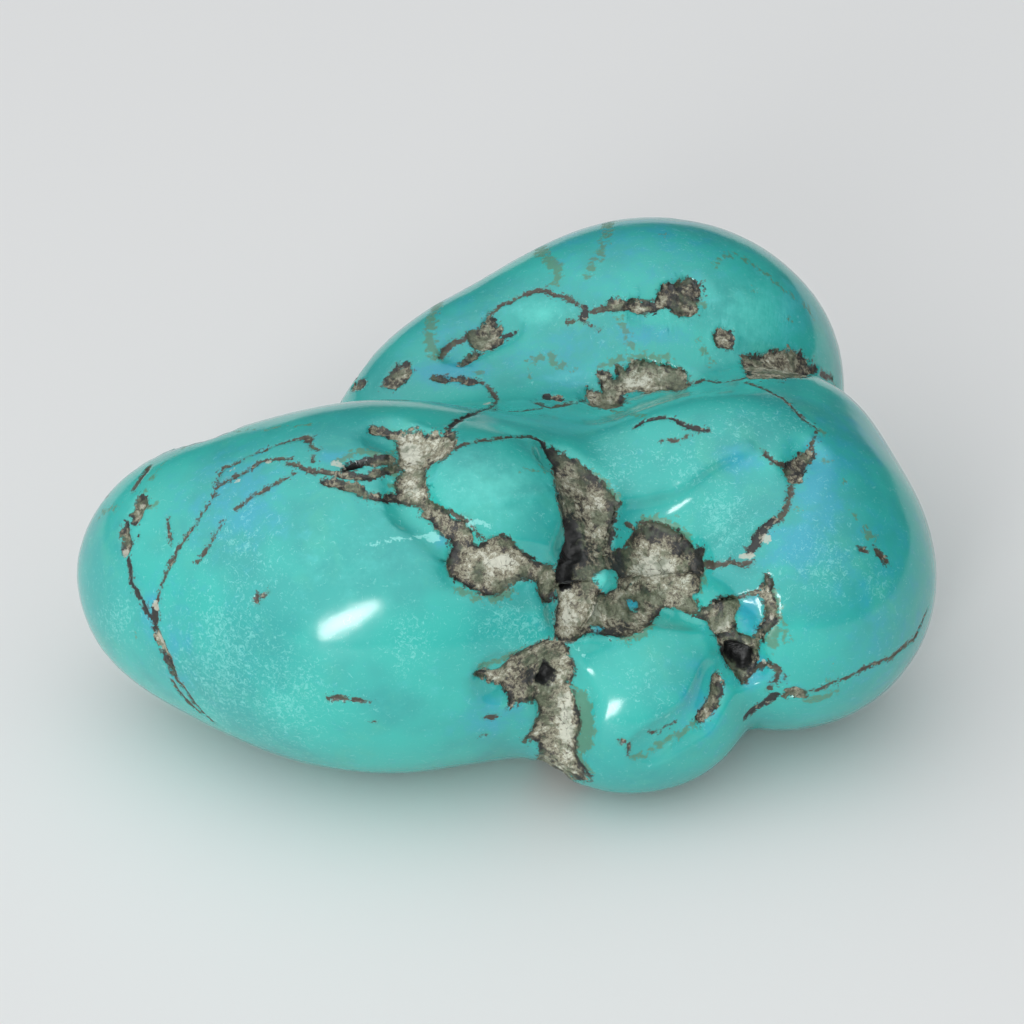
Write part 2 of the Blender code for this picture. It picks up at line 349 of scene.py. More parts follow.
# %% Veins round the cobble, the bump and on the right lobe
FRONT_LINES |= {
    "cobble top": ("brown", 4, [(455, 450), (460, 446), (470, 443), (480, 441), (490, 440), (500, 438),
                                (510, 437), (520, 437), (530, 436), (538, 439)]),
    "cobble corner": ("black", 8, [(530, 437), (538, 439), (543, 445), (548, 452)]),
    "cobble olive": ("olive", 2.5, [(515, 470), (525, 470), (535, 468), (545, 470), (552, 474)]),
    "pocket hook": ("rock", 6, [(372, 431), (385, 433), (395, 438)]),
    "pocket band": ("rock", 15, [(425, 508), (433, 513), (440, 518), (445, 525), (452, 533)]),
    "cobble foot": ("brown", 4, [(448, 510), (458, 517), (468, 521), (476, 532), (482, 538)]),
    "stem": ("rock", 13, [(570, 578), (570, 590), (572, 605), (570, 620), (568, 632)]),
    "stem node": ("black", 11, [(564, 632), (562, 640)]),
    "squiggle": ("brown", 4, [(625, 523), (635, 530), (632, 540), (624, 547)]),
    "islet vein": ("brown", 3, [(640, 523), (650, 523), (660, 525)]),
    "island top": ("brown", 3, [(735, 598), (742, 596), (750, 594), (757, 592), (763, 590)]),
    "island right": ("rock", 8, [(767, 578), (768, 585), (766, 593), (770, 600), (771, 610), (770, 620),
                                  (765, 627), (760, 632), (757, 640)]),
    "pebble edge": ("brown", 5, [(742, 683), (748, 675), (755, 668), (765, 664), (772, 666), (778, 672),
                                 (776, 682), (768, 690)]),
    "pebble vein": ("brown", 3, [(770, 662), (777, 668), (783, 675), (786, 680)]),
    "bump right": ("rock", 10, [(716, 676), (716, 690), (713, 700), (707, 710), (700, 718)]),
    "bump low": ("olive", 5, [(700, 718), (690, 727), (680, 733), (672, 737), (662, 745), (650, 750),
                              (640, 755), (632, 758)]),
    "bump line": ("brown", 3, [(650, 733), (660, 730), (668, 725), (675, 723)]),
    "bump spot": ("brown", 6, [(620, 740), (625, 742)]),
    "bump drop": ("brown", 3, [(630, 742), (628, 755)]),
    "low crevice": ("black", 8, [(745, 717), (752, 710), (760, 706), (770, 700), (776, 695)]),
    "low patch": ("rock", 10, [(787, 695), (795, 692), (801, 694)]),
    "right base crack": ("brown", 3.5, [(805, 692), (815, 690), (825, 686), (835, 682), (845, 678),
                                        (855, 674), (862, 669), (870, 666), (880, 662), (890, 658),
                                        (897, 652), (905, 645), (913, 640), (920, 625), (928, 605)]),
    "right base streak": ("olive", 3, [(829, 664), (831, 682)]),
    "eye vein": ("black", 4, [(635, 427), (643, 422), (650, 420), (660, 418), (670, 418), (678, 421),
                              (685, 426), (693, 428), (700, 430), (710, 430)]),
    "eye vein low": ("brown", 2, [(661, 440), (668, 440), (678, 441), (684, 438), (690, 434)]),
    "eye tail": ("olive", 2, [(600, 410), (612, 411), (625, 413), (640, 415), (647, 416)]),
    "upper right": ("brown", 3.5, [(745, 383), (755, 386), (765, 390), (775, 395), (785, 400), (792, 407),
                                   (800, 416), (808, 422), (817, 428), (815, 436), (812, 444),
                                   (810, 450)]),
    "upper right twig": ("olive", 3, [(817, 428), (825, 433)]),
    "right branch": ("brown", 4, [(763, 450), (770, 457), (776, 463), (785, 466)]),
    "right fall": ("brown", 5, [(791, 485), (790, 495), (787, 505), (783, 513), (778, 520)]),
    "right hook": ("black", 8, [(778, 520), (770, 523), (762, 530), (757, 537), (755, 545), (748, 553)]),
    "right chain": ("brown", 6, [(752, 562), (742, 564), (732, 562), (722, 564), (712, 565), (702, 563)]),
    "right olive dot": ("olive", 4, [(795, 507), (799, 509)]),
    "face dot 1": ("olive", 6, [(824, 460), (826, 460)]),
    "face dot 2": ("olive", 5, [(844, 481), (846, 481)]),
    "face dot 3": ("olive", 5, [(851, 515), (853, 515)]),
    "face spot": ("olive", 9, [(864, 528), (868, 534), (872, 538)]),
    "face spot low": ("brown", 6, [(858, 549), (866, 551)]),
    "face spot tail": ("brown", 5, [(875, 550), (880, 555), (887, 562)]),
    "low olive dot": ("olive", 7, [(787, 638), (795, 638)]),
    "star spot": ("brown", 6, [(486, 717), (494, 717)]),
    "star dot": ("brown", 4, [(482, 735), (484, 735)]),
}

# %% Veins on the lobe behind
FRONT_LINES |= {
    "behind left streak": ("olive", 14, [(440, 300), (432, 318), (430, 330), (430, 340), (436, 355),
                                        (440, 358)]),
    "behind spots": ("rock", 8, [(355, 387), (364, 385)]),
    "behind vein": ("brown", 5, [(440, 358), (447, 348), (455, 343), (463, 340), (470, 335)]),
    "behind dark": ("black", 5, [(500, 340), (507, 336), (515, 332)]),
    "cobble arc": ("brown", 5, [(490, 315), (500, 305), (510, 302), (520, 296), (535, 291), (545, 290),
                                (555, 295), (565, 297), (573, 301), (584, 308)]),
    "arc node": ("black", 9, [(583, 306), (586, 313), (583, 319)]),
    "arc branch": ("brown", 5, [(590, 312), (600, 309), (610, 308)]),
    "arc branch low": ("brown", 3, [(585, 322), (592, 327), (600, 330)]),
    "arc branch left": ("brown", 4, [(573, 321), (567, 322)]),
    "behind band": ("rock", 11, [(610, 307), (620, 304), (630, 305), (640, 308), (650, 308), (660, 305)]),
    "behind fall": ("olive", 6, [(620, 315), (622, 325), (627, 335), (631, 345), (634, 355), (638, 360)]),
    "saddle spot": ("black", 7, [(545, 395), (549, 399)]),
    "saddle spot pale": ("rock", 7, [(555, 398), (560, 400)]),
    "saddle line": ("brown", 4, [(533, 402), (543, 406), (550, 408), (565, 405), (585, 400)]),
    "saddle rim": ("rock", 6, [(435, 378), (447, 380), (460, 380), (470, 383), (478, 381)]),
    "saddle drop": ("brown", 4, [(478, 381), (485, 385), (492, 392), (497, 400), (490, 408)]),
    "saddle olive": ("olive", 4, [(540, 367), (550, 364), (560, 365), (568, 367), (575, 372)]),
    "saddle olive 1": ("olive", 7, [(479, 374), (481, 374)]),
    "saddle olive 2": ("olive", 6, [(529, 376), (531, 376)]),
    "top brown streak": ("olive", 16, [(540, 238), (541, 250), (543, 255), (552, 262), (558, 270),
                                       (557, 283)]),
    "top green streak": ("olive", 12, [(608, 220), (607, 235), (603, 248), (597, 260), (590, 270),
                                      (587, 277)]),
    "top smudge": ("olive", 7, [(664, 235), (666, 235)]),
    "top right line": ("olive", 5, [(712, 267), (716, 262), (724, 256), (735, 254), (745, 260),
                                    (752, 265), (760, 270), (768, 275), (773, 282), (788, 292),
                                    (798, 299), (806, 305), (812, 315), (818, 325)]),
    "top right dot": ("olive", 7, [(752, 290), (754, 290)]),
    "top right dot low": ("olive", 8, [(787, 320), (793, 320)]),
    "behind faint": ("olive", 3, [(700, 340), (703, 352), (710, 362), (712, 370)]),
    "behind low olive": ("olive", 7, [(525, 362), (540, 356), (556, 358)]),
    "behind low rock": ("rock", 7, [(478, 352), (470, 360), (462, 366)]),
    "saddle thread": ("brown", 4, [(600, 408), (616, 402), (630, 404)]),
    "behind top dot": ("olive", 8, [(700, 300), (704, 306)]),
    "fold rim": ("brown", 4, [(687, 385), (695, 382), (705, 380), (720, 383), (745, 379)]),
    "fold right": ("brown", 7, [(820, 374), (832, 378)]),
}

# %% Broad olive stains beside the rock
FRONT_LINES |= {
    "star olive": ("olive", 22, [(577, 694), (584, 712), (586, 730), (582, 748)]),
    "island ring": ("olive", 11, [(773, 588), (775, 604), (776, 622), (773, 640), (768, 652)]),
    "star olive low": ("olive", 10, [(578, 757), (590, 772)]),
    "eye olive": ("olive", 9, [(640, 524), (655, 521), (672, 525), (688, 538)]),
    "eye olive right": ("olive", 8, [(700, 555), (703, 575), (699, 592)]),
    "trough olive": ("olive", 6, [(592, 472), (606, 485), (617, 502)]),
    "shelf olive": ("olive", 8, [(650, 628), (640, 636), (622, 640)]),
    "pocket olive": ("olive", 7, [(455, 588), (475, 597), (497, 600), (512, 590)]),
    "upper pocket olive": ("olive", 7, [(392, 462), (396, 480), (392, 497)]),
    "ledge olive": ("olive", 9, [(806, 700), (822, 698), (835, 692)]),
    "saddle olive edge": ("olive", 8, [(600, 368), (618, 360), (645, 356), (670, 360)]),
    "low left olive": ("olive", 5, [(476, 668), (500, 660), (520, 648)]),
}

# %% Pale chips, beads, a scratch and two painted highlights
FRONT_LINES |= {
    "tip chip": ("chip", 7, [(125, 552), (127, 554)]),
    "rim chip": ("chip", 5, [(141, 504), (143, 507)]),
    "arc bead chip": ("chip", 8, [(156, 603), (156, 608)]),
    "arc foot chip": ("chip", 5, [(159, 635), (163, 645)]),
    "arc chip high": ("chip", 4, [(230, 471), (236, 469)]),
    "arc chip middle": ("chip", 4, [(236, 482), (240, 480)]),
    "arc chip right": ("chip", 4, [(266, 461), (271, 461)]),
    "ridge chip": ("chip", 5, [(485, 405), (489, 403)]),
    "chain chip": ("chip", 6, [(741, 557), (753, 555)]),
    "hook chip": ("chip", 9, [(765, 537), (767, 540)]),
    "island chip": ("chip", 5, [(762, 660), (764, 663)]),
    "island chip high": ("chip", 4, [(771, 616), (771, 619)]),
    "slot lip": ("chip", 6, [(330, 464), (336, 462), (342, 467)]),
    # Painted highlight: a pale cyan streak along the cobble's lower rim, where the light glints.
    "painted cobble highlight": ("scratch", 5, [(466, 525), (476, 522), (486, 523), (494, 527)]),
    "scratch": ("scratch", 4, [(360, 552), (370, 545), (385, 541), (400, 539), (425, 537)]),
    "scratch end": ("scratch", 9, [(430, 534), (437, 540)]),
    # Painted highlight: a pale cyan streak along the bump's upper rim, where the light glints.
    "painted bump highlight": ("scratch", 3, [(573, 643), (580, 652), (587, 657)]),
}

# %% Crests, where two worn faces meet
CRESTS = {
    "shoulder": [(615, 500), (630, 498), (645, 496), (660, 493), (673, 490), (685, 483), (696, 474), (707, 465),
                 (718, 459), (730, 455), (747, 447)],
    "bump": [(590, 641), (605, 643), (622, 641), (640, 634), (655, 627), (672, 616)],
    "cobble": [(500, 500), (515, 497), (530, 496), (545, 492)],
}

# %% Patches of host rock, islands of turquoise left in them, and black pits
ROCK_PATCHES = {
    "upper pocket": [(388, 432), (400, 434), (410, 433), (418, 429), (424, 434), (440, 434), (447, 432),
                     (455, 435), (455, 445), (450, 452), (442, 458), (432, 462), (424, 470), (424, 485),
                     (428, 492), (425, 508), (410, 505), (395, 500), (398, 490), (395, 485), (398, 478),
                     (405, 470), (398, 465), (400, 448), (395, 440)],
    "cobble pocket": [(448, 520), (462, 520), (470, 530), (472, 545), (480, 548), (490, 540), (500, 535),
                      (512, 542), (522, 552), (535, 562), (545, 566), (556, 566), (556, 585), (550, 602),
                      (545, 602), (540, 595), (538, 582), (525, 577), (515, 582), (505, 588), (495, 595),
                      (480, 592), (470, 586), (458, 580), (450, 575), (448, 565), (452, 545)],
    "trough": [(545, 448), (556, 452), (566, 457), (575, 462), (585, 470), (595, 478), (605, 487),
               (612, 495), (616, 505), (614, 518), (612, 525), (615, 535), (612, 545), (605, 555),
               (590, 560), (575, 556), (568, 540), (562, 508), (558, 495), (556, 480), (553, 465)],
    "eye pocket": [(640, 525), (650, 523), (660, 526), (670, 528), (680, 535), (686, 542), (693, 548),
                   (702, 550), (700, 560), (702, 570), (700, 580), (698, 590), (690, 597), (680, 600),
                   (660, 597), (640, 590), (622, 580), (612, 565), (612, 552), (625, 548), (632, 540),
                   (636, 530)],
    "shelf": [(562, 562), (590, 556), (612, 552), (625, 578), (640, 590), (690, 597), (700, 612),
              (690, 613), (682, 609), (672, 606), (662, 607), (656, 615), (650, 625), (640, 632),
              (625, 637), (612, 636), (595, 632), (578, 636), (572, 640), (556, 640), (558, 600),
              (556, 570)],
    "ledge": [(696, 600), (702, 612), (712, 603), (722, 598), (735, 597), (737, 605), (735, 615),
              (733, 625), (738, 636), (717, 636), (710, 625), (700, 612)],
    "beside bump": [(717, 635), (725, 633), (738, 636), (750, 637), (757, 640), (757, 655), (755, 665),
                    (748, 672), (742, 682), (736, 672), (728, 665), (722, 655)],
    "star": [(475, 673), (485, 672), (497, 670), (505, 664), (512, 657), (520, 652), (530, 648),
             (540, 644), (550, 642), (562, 641), (568, 655), (573, 665), (572, 675), (566, 682),
             (570, 692), (573, 702), (577, 714), (578, 728), (575, 742), (574, 752), (580, 764),
             (590, 778), (572, 778), (552, 772), (532, 768), (541, 755), (538, 742), (525, 740),
             (530, 735), (535, 725), (540, 715), (540, 703), (535, 700), (525, 702), (515, 703),
             (508, 708), (510, 700), (507, 690), (500, 683), (490, 680)],
    "right pocket": [(808, 450), (812, 455), (807, 462), (806, 470), (800, 480), (795, 484), (790, 483),
                     (786, 475), (785, 466), (792, 460), (800, 455)],
    "behind left": [(470, 335), (480, 328), (490, 318), (497, 322), (500, 330), (500, 342), (493, 348),
                    (480, 350), (472, 345)],
    "behind right": [(656, 303), (660, 292), (667, 285), (678, 283), (690, 279), (698, 285), (703, 292),
                     (697, 300), (696, 310), (688, 314), (675, 312), (668, 306)],
    "saddle": [(598, 375), (606, 372), (610, 378), (618, 380), (617, 365), (625, 370), (635, 362),
               (645, 360), (655, 366), (670, 366), (680, 370), (687, 375), (687, 385), (680, 390),
               (665, 388), (650, 392), (640, 388), (625, 393), (615, 398), (605, 400)],
    "saddle low": [(588, 390), (600, 392), (612, 390), (625, 398), (620, 405), (605, 408), (590, 405)],
    "behind edge": [(383, 387), (390, 375), (398, 366), (408, 364), (412, 372), (405, 380), (395, 388)],
    "behind ring": [(713, 335), (720, 330), (730, 332), (733, 340), (728, 348), (717, 347)],
    "fold": [(743, 358), (755, 355), (770, 352), (785, 350), (800, 352), (808, 362), (815, 372),
             (805, 376), (785, 377), (765, 378), (750, 378), (745, 368)],
}
ISLANDS = {
    "bright": [(585, 580), (595, 573), (605, 568), (615, 568), (619, 575), (618, 588), (610, 592),
               (605, 598), (600, 592), (596, 586)],
    "dull": [(623, 602), (630, 599), (639, 601), (640, 607), (632, 610), (625, 609)],
    "small": [(592, 627), (598, 625), (605, 628), (603, 632), (595, 632)],
    "teal": [(624, 539), (630, 540), (631, 546), (625, 548)],
    "lens": [(372, 478), (385, 472), (394, 474), (392, 485), (385, 492), (374, 490), (366, 485)],
}
PITS = {
    "trough pit": [(566, 514), (574, 517), (580, 524), (584, 535), (586, 548), (584, 560), (578, 566),
                   (577, 575), (570, 590), (563, 592), (557, 580), (557, 566), (561, 552), (565, 540)],
    "star pit": [(545, 662), (552, 665), (557, 672), (556, 680), (550, 690), (545, 687), (537, 682),
                 (535, 677), (540, 672)],
    "bump pit": [(722, 640), (732, 640), (742, 645), (752, 650), (750, 662), (744, 672), (738, 668),
                 (730, 660), (724, 652)],
    "slot pit": [(342, 471), (345, 464), (352, 461), (362, 460), (370, 460), (366, 464), (358, 468),
                 (348, 471)],
}
print(len(FRONT_LINES), "lines,", len(ROCK_PATCHES), "patches,", len(ISLANDS), "islands,", len(PITS), "pits")

# %% [markdown]
# ## Marks on the other sides
# The veins run right round the stone, so the sides that the first view doesn't show need their
# own. They are sketched in a few points in millimetres on the back, left, right and under
# sheets, and a midpoint rule breaks each line into a jagged crack.

# %% Veins and patches on the other sides
OTHER_LINES = {
    "back": {
        "high vein": ("brown", 0.26, [(-17.0, 5.0), (-12.0, 7.5), (-6.0, 6.0), (-1.0, 8.0), (4.0, 6.5)]),
        "trough vein": ("black", 0.34, [(-15.0, 3.4), (-9.0, 0.6), (-5.0, -3.3), (-4.0, -7.5)]),
        "trough twig": ("olive", 0.24, [(-9.0, 0.6), (-8.0, -3.0), (-10.5, -6.5)]),
        "pit vein": ("brown", 0.30, [(-5.0, -3.3), (-1.0, -1.0), (3.5, 0.6), (8.0, 2.4), (13.0, 1.5)]),
        "pit twig": ("olive", 0.30, [(3.5, 0.6), (5.5, -3.5), (4.0, -8.0)]),
        "ledge vein": ("brown", 0.30, [(13.0, 1.5), (16.5, -0.8), (20.5, -1.0)]),
        "low vein": ("brown", 0.22, [(8.0, -5.0), (12.0, -6.5), (17.0, -6.0)]),
        "far vein": ("olive", 0.40, [(-1.0, 8.0), (0.5, 4.0), (3.5, 0.6)]),
        "wing vein": ("brown", 0.22, [(-20.0, -2.0), (-17.0, -4.5), (-12.5, -5.5), (-10.5, -6.5)]),
    },
    "left": {
        "tip vein": ("brown", 0.24, [(16.0, -1.5), (12.0, -3.5), (8.0, -2.0), (4.5, -0.5), (1.0, -3.5)]),
        "wing vein": ("black", 0.30, [(-6.0, 4.0), (-9.5, 1.0), (-12.0, -1.8), (-13.0, -6.0)]),
        "wing twig": ("olive", 0.30, [(-9.5, 1.0), (-6.0, -1.5), (-3.0, -5.0)]),
        "low vein": ("brown", 0.20, [(1.0, -3.5), (-3.0, -5.0), (-7.0, -6.8)]),
    },
    "right": {
        "face vein": ("brown", 0.24, [(-13.0, 1.0), (-8.0, -1.0), (-3.0, -0.5), (2.0, -3.5), (7.0, -4.0)]),
        "face twig": ("olive", 0.26, [(-3.0, -0.5), (-1.0, 3.0), (2.5, 5.0)]),
        "back vein": ("black", 0.28, [(7.0, -4.0), (11.0, -1.5), (15.0, 1.5), (17.5, 0.5)]),
        "low vein": ("brown", 0.20, [(2.0, -3.5), (3.5, -7.5), (1.5, -9.5)]),
    },
    "under": {
        "long vein": ("brown", 0.30, [(-20.0, 8.0), (-12.0, 10.5), (-5.0, 8.0), (2.0, 3.0), (10.0, 4.0),
                                      (19.0, 1.0)]),
        "cross vein": ("black", 0.32, [(2.0, 3.0), (0.5, -4.0), (4.0, -11.0), (3.0, -19.0)]),
        "twig": ("olive", 0.28, [(10.0, 4.0), (13.0, 10.0), (9.0, 15.0)]),
        "far twig": ("brown", 0.22, [(4.0, -11.0), (11.0, -13.0), (17.0, -11.0)]),
        "egg vein": ("brown", 0.20, [(-12.0, 10.5), (-14.0, 4.0), (-8.0, -2.0), (0.5, -4.0)]),
    },
}
OTHER_PATCHES = {  # each patch: its middle (across, up) and half sizes, in mm
    "back": [((-9.0, 0.6), (2.4, 1.1)), ((-5.2, -3.2), (1.2, 1.6)), ((3.6, 0.6), (1.8, 1.0)),
             ((15.8, -0.5), (2.2, 0.9)), ((-1.2, 8.0), (1.1, 0.7))],
    "left": [((5.2, 0.2), (1.3, 1.7)), ((-10.6, 0.2), (1.9, 1.1))],
    "right": [((-2.8, -0.4), (1.2, 0.8)), ((11.0, -1.6), (1.6, 0.8))],
    "under": [((1.6, 2.8), (2.2, 1.2)), ((4.0, -11.0), (1.4, 1.0))],
}


def jagged(points, seed, rounds=4, bend=0.16):
    """A sketched line broken again and again at its midpoints, each pushed aside a little."""
    random = np.random.default_rng(seed)
    path = np.array(points, float)
    for _ in range(rounds):
        run = path[1:] - path[:-1]
        aside = np.stack([-run[:, 1], run[:, 0]], axis=1) * random.uniform(-bend, bend, (len(run), 1))
        middles = (path[1:] + path[:-1]) / 2.0 + aside
        full = np.empty((len(path) + len(middles), 2))
        full[0::2] = path
        full[1::2] = middles
        path = full
    return path


print(sum(len(lines) for lines in OTHER_LINES.values()), "more lines")

# %% [markdown]
# ## Hollows, and the true skin
# Softer rock wore away between the turquoise cobbles before the stone was polished. The hollows
# are broad strokes pressed into the body. The veins then have to lie in the hollows, so each mark
# is carried on past the plain body until it meets this hollowed skin.

# %% Hollows
# Each stroke: its points (across, up) in mm on the sheet, its width, and its depth.
HOLLOWS = {
    "front": {
        "upper pocket": (((-8.2, 5.2), (-6.2, 4.4), (-6.9, 2.2), (-6.6, 0.5)), 3.8, 0.8),
        "band below the pocket": (((-6.6, 0.5), (-4.4, -1.6)), 3.4, 0.6),
        "pocket under the cobble": (((-2.8, -3.4), (1.5, -4.4)), 4.4, 0.9),
        "trough": (((3.3, 3.3), (5.1, 1.5), (4.9, -1.8), (3.8, -5.4)), 4.6, 1.0),
        "pocket under the shoulder": (((7.5, -3.0), (11.1, -3.3)), 4.8, 0.5),
        "shelf over the bump": (((3.9, -6.8), (8.4, -6.1), (13.0, -6.1)), 3.8, 0.8),
        "pit beside the bump": (((14.6, -7.8), (15.2, -10.0)), 3.8, 0.8),
        "star": (((-0.8, -11.1), (2.5, -10.4), (3.7, -12.7), (3.3, -15.4)), 4.2, 0.7),
        "groove round the bump": (((13.5, -11.1), (12.4, -13.6), (9.1, -15.7)), 3.2, 0.5),
        "face under the crest": (((7.3, -1.5), (9.8, -1.1), (12.2, 0.0), (15.0, 1.6)), 5.4, 0.7),
        "vein on the right": (((19.5, 3.8), (18.7, 2.1), (17.7, -0.5), (15.7, -2.7)), 3.2, 0.5),
        "saddle pocket": (((5.8, 7.8), (9.0, 8.8), (11.0, 8.6)), 3.4, 0.6),
        "back lobe pit": (((9.0, 13.4), (11.8, 14.6)), 3.6, 0.5),
        "back lobe pocket": (((-3.4, 10.8), (-0.6, 12.2)), 3.6, 0.5),
    },
    "back": {
        "long trough": (((-14.0, 3.0), (-9.0, 0.5), (-5.0, -3.5)), 4.2, 0.8),
        "back pit": (((3.0, 1.0), (4.5, 0.0)), 4.4, 0.8),
        "ledge pocket": (((13.0, 1.5), (16.0, -0.5), (18.5, -1.0)), 4.0, 0.7),
    },
    "left": {
        "tip hollow": (((6.5, 3.0), (4.5, -0.5)), 3.8, 0.6),
        "wing hollow": (((-9.0, 1.5), (-12.0, -1.5)), 4.4, 0.7),
    },
}


def near(points, path, reach):
    """Which points lie within reach of a path's own ball, so that the rest can be passed over."""
    middle = (path.min(axis=0) + path.max(axis=0)) / 2.0
    radius = length(path - middle).max() + reach
    return np.flatnonzero(length(points - middle) < radius)


def path_distance(points, path):
    """How far points lie from a path of straight pieces."""
    nearest = np.full(len(points), np.inf)
    for start, end in zip(path[:-1], path[1:]):
        run = end - start
        offset = points - start
        share = np.clip(offset @ run / max(run @ run, 1e-12), 0.0, 1.0)
        offset -= share[:, None] * run
        nearest = np.minimum(nearest, np.einsum("ij,ij->i", offset, offset))
    return np.sqrt(nearest)


def hollow_paths():
    paths = []
    for sheet, strokes in HOLLOWS.items():
        for points, width, depth in strokes.values():
            paths.append((carried_onto_stone(with_steps(points), sheet), width / 2.0, depth))
    return paths


PRESSED = hollow_paths()


def skin_distance(points):
    """How far points lie outside the body with its hollows pressed in."""
    distance = body_distance(points)
    for path, half_width, depth in PRESSED:
        close = near(points, path, half_width)
        share = np.clip(1.0 - (path_distance(points[close], path) / half_width) ** 2, 0.0, 1.0)
        distance[close] += depth * share * share * (3.0 - 2.0 * share)
    return distance


def carried_onto_skin(flat_points, sheet):
    """Points of a sheet carried onto the hollowed skin: small steps from just before the body."""
    start = carried_onto_stone(flat_points, sheet)
    eye = SHEET_MIDDLE + EYE_DISTANCE * sheet_axes(sheet)[2]
    sight = (start - eye) / np.linalg.norm(start - eye, axis=1)[:, None]
    step = 0.1
    travelled = np.full(len(start), -1.6)
    moving = np.ones(len(start), bool)
    for _ in range(36):
        moving &= skin_distance(start + sight * travelled[:, None]) > 0.0
        travelled[moving] += step
    return start + sight * (travelled - step / 2.0)[:, None]


def lines_onto_skin(lines, sheet):
    """Many lines of a sheet carried onto the skin in one go."""
    carried = carried_onto_skin(np.vstack(lines), sheet)
    ends = np.cumsum([len(line) for line in lines])
    return np.split(carried, ends[:-1])


print(len(PRESSED), "hollows")

# %% [markdown]
# ## Every mark as a place on the skin
# A vein becomes a path in three dimensions with a width, so it keeps its width when it runs over
# a shoulder. A patch is simpler to test flat: a place is in it if it is seen inside the outline,
# and if it isn't on some other lobe behind.

# %% Veins and patches in three dimensions
TONES = {"black": 0.0, "brown": 1.0, "olive": 2.0, "rock": 3.0, "chip": 4.0, "scratch": 5.0}
LEAST_HALF_WIDTH = 0.085  # mm: thinner veins would fall between the skin's points
SAMPLE = 0.05  # mm between a vein's samples
PATCH_DEPTH = 4.5  # mm: how far a place may lie from a patch's outline
FAR = 3.0  # mm: distances are cut off here


def vein_samples(path, half_width):
    """Even samples along a vein, and its half width at each, less at both ends."""
    lengths = np.linalg.norm(path[1:] - path[:-1], axis=1)
    stations = np.concatenate([[0.0], np.cumsum(lengths)])
    at = np.arange(0.0, stations[-1], SAMPLE)
    places = np.stack([np.interp(at, stations, path[:, axis]) for axis in range(3)], axis=1)
    share = at / stations[-1]
    taper = 0.6 + 0.4 * np.sqrt(np.clip(6.0 * share * (1.0 - share), 0.0, 1.0))
    return places, half_width * taper


def vein_rows(paths, half_widths, kinds):
    """Veins as samples: each row is a place, a half width and a tone."""
    rows = []
    for path, half_width, kind in zip(paths, half_widths, kinds):
        places, halves = vein_samples(path, half_width)
        rows.append(np.column_stack([places, halves, np.full(len(places), TONES[kind])]))
    return np.vstack(rows)


def front_veins():
    kinds, widths, lines = zip(*FRONT_LINES.values())
    paths = lines_onto_skin([picture_to_sheet(with_steps(line, 6.0)) for line in lines], "front")
    halves = [max(width * POINT_SIZE / 2.0, LEAST_HALF_WIDTH) for width in widths]
    return vein_rows(paths, halves, kinds)


def other_veins():
    rows = []
    for place, (sheet, lines) in enumerate(OTHER_LINES.items()):
        kinds, widths, sketches = zip(*lines.values())
        drawn = [jagged(sketch, 100 * place + number) for number, sketch in enumerate(sketches)]
        paths = lines_onto_skin(drawn, sheet)
        rows.append(vein_rows(paths, [width / 2.0 for width in widths], kinds))
    return np.vstack(rows)


class Veins:
    """Samples of many veins, with a tree that finds the nearest one to any place."""

    def __init__(self, rows):
        self.half_widths, self.tones = rows[:, 3], rows[:, 4]
        self.tree = kdtree.KDTree(len(rows))
        for index, row in enumerate(rows):
            self.tree.insert(row[:3], index)
        self.tree.balance()

    def nearest(self, places):
        """Distance to the nearest vein's edge, below zero inside it, and that vein's tone."""
        found = [self.tree.find(place)[1:] for place in places]
        index = np.array([entry[0] for entry in found])
        gap = np.array([entry[1] for entry in found])
        return np.minimum(gap - self.half_widths[index], FAR), self.tones[index]


def outline_distance(places, outline):
    """How far flat places lie outside a closed outline: below zero inside it."""
    corners = np.array(outline, float)
    gap = path_distance(places, np.vstack([corners, corners[:1]]))
    inside = np.zeros(len(places), bool)
    for (x0, y0), (x1, y1) in zip(corners, np.roll(corners, -1, axis=0)):
        crosses = (y0 > places[:, 1]) != (y1 > places[:, 1])
        at = (x1 - x0) * (places[:, 1] - y0) / (y1 - y0 if y1 != y0 else 1.0) + x0
        inside ^= crosses & (places[:, 0] < at)
    return np.where(inside, -gap, gap)


def with_edges(outlines):
    """Each outline of the front sheet together with its corners' places on the skin."""
    names = list(outlines)
    edges = lines_onto_skin([picture_to_sheet(outlines[name]) for name in names], "front")
    return [(np.array(outlines[name], float), edge) for name, edge in zip(names, edges)]


def outlines_distance(points, outlines):
    """Distance in mm to the nearest of several outlines of the front sheet."""
    distance = np.full(len(points), FAR)
    for outline, edge in outlines:
        close = near(points, edge, PATCH_DEPTH)
        gap = outline_distance(sheet_to_picture(points[close]), outline) * POINT_SIZE
        distance[close] = np.minimum(distance[close], gap)
    return distance


def other_patches():
    """Each patch of the other sheets: its middle on the skin, two directions and half sizes."""
    patches = []
    for sheet, drawn in OTHER_PATCHES.items():
        middles = carried_onto_skin([middle for middle, _ in drawn], sheet)
        across, upwards, _ = sheet_axes(sheet)
        hidden = hidden_in_front(middles)
        patches += [
            (middle, across, upwards, sizes)
            for middle, (_, sizes), is_hidden in zip(middles, drawn, hidden)
            if is_hidden
        ]
    return patches


def other_patches_distance(points):
    distance = np.full(len(points), FAR)
    for middle, across, upwards, (half_across, half_up) in BEHIND_PATCHES:
        offset = points - middle
        share = np.hypot(offset @ across / half_across, offset @ upwards / half_up)
        gap = np.maximum((share - 1.0) * min(half_across, half_up), length(offset) - PATCH_DEPTH)
        distance = np.minimum(distance, gap)
    return distance


def crest_lines():
    lines = [picture_to_sheet(with_steps(line, 6.0)) for line in CRESTS.values()]
    paths = lines_onto_skin(lines, "front")
    samples = np.vstack([vein_samples(path, 0.0)[0] for path in paths])
    return Veins(np.column_stack([samples, np.zeros((len(samples), 2))]))


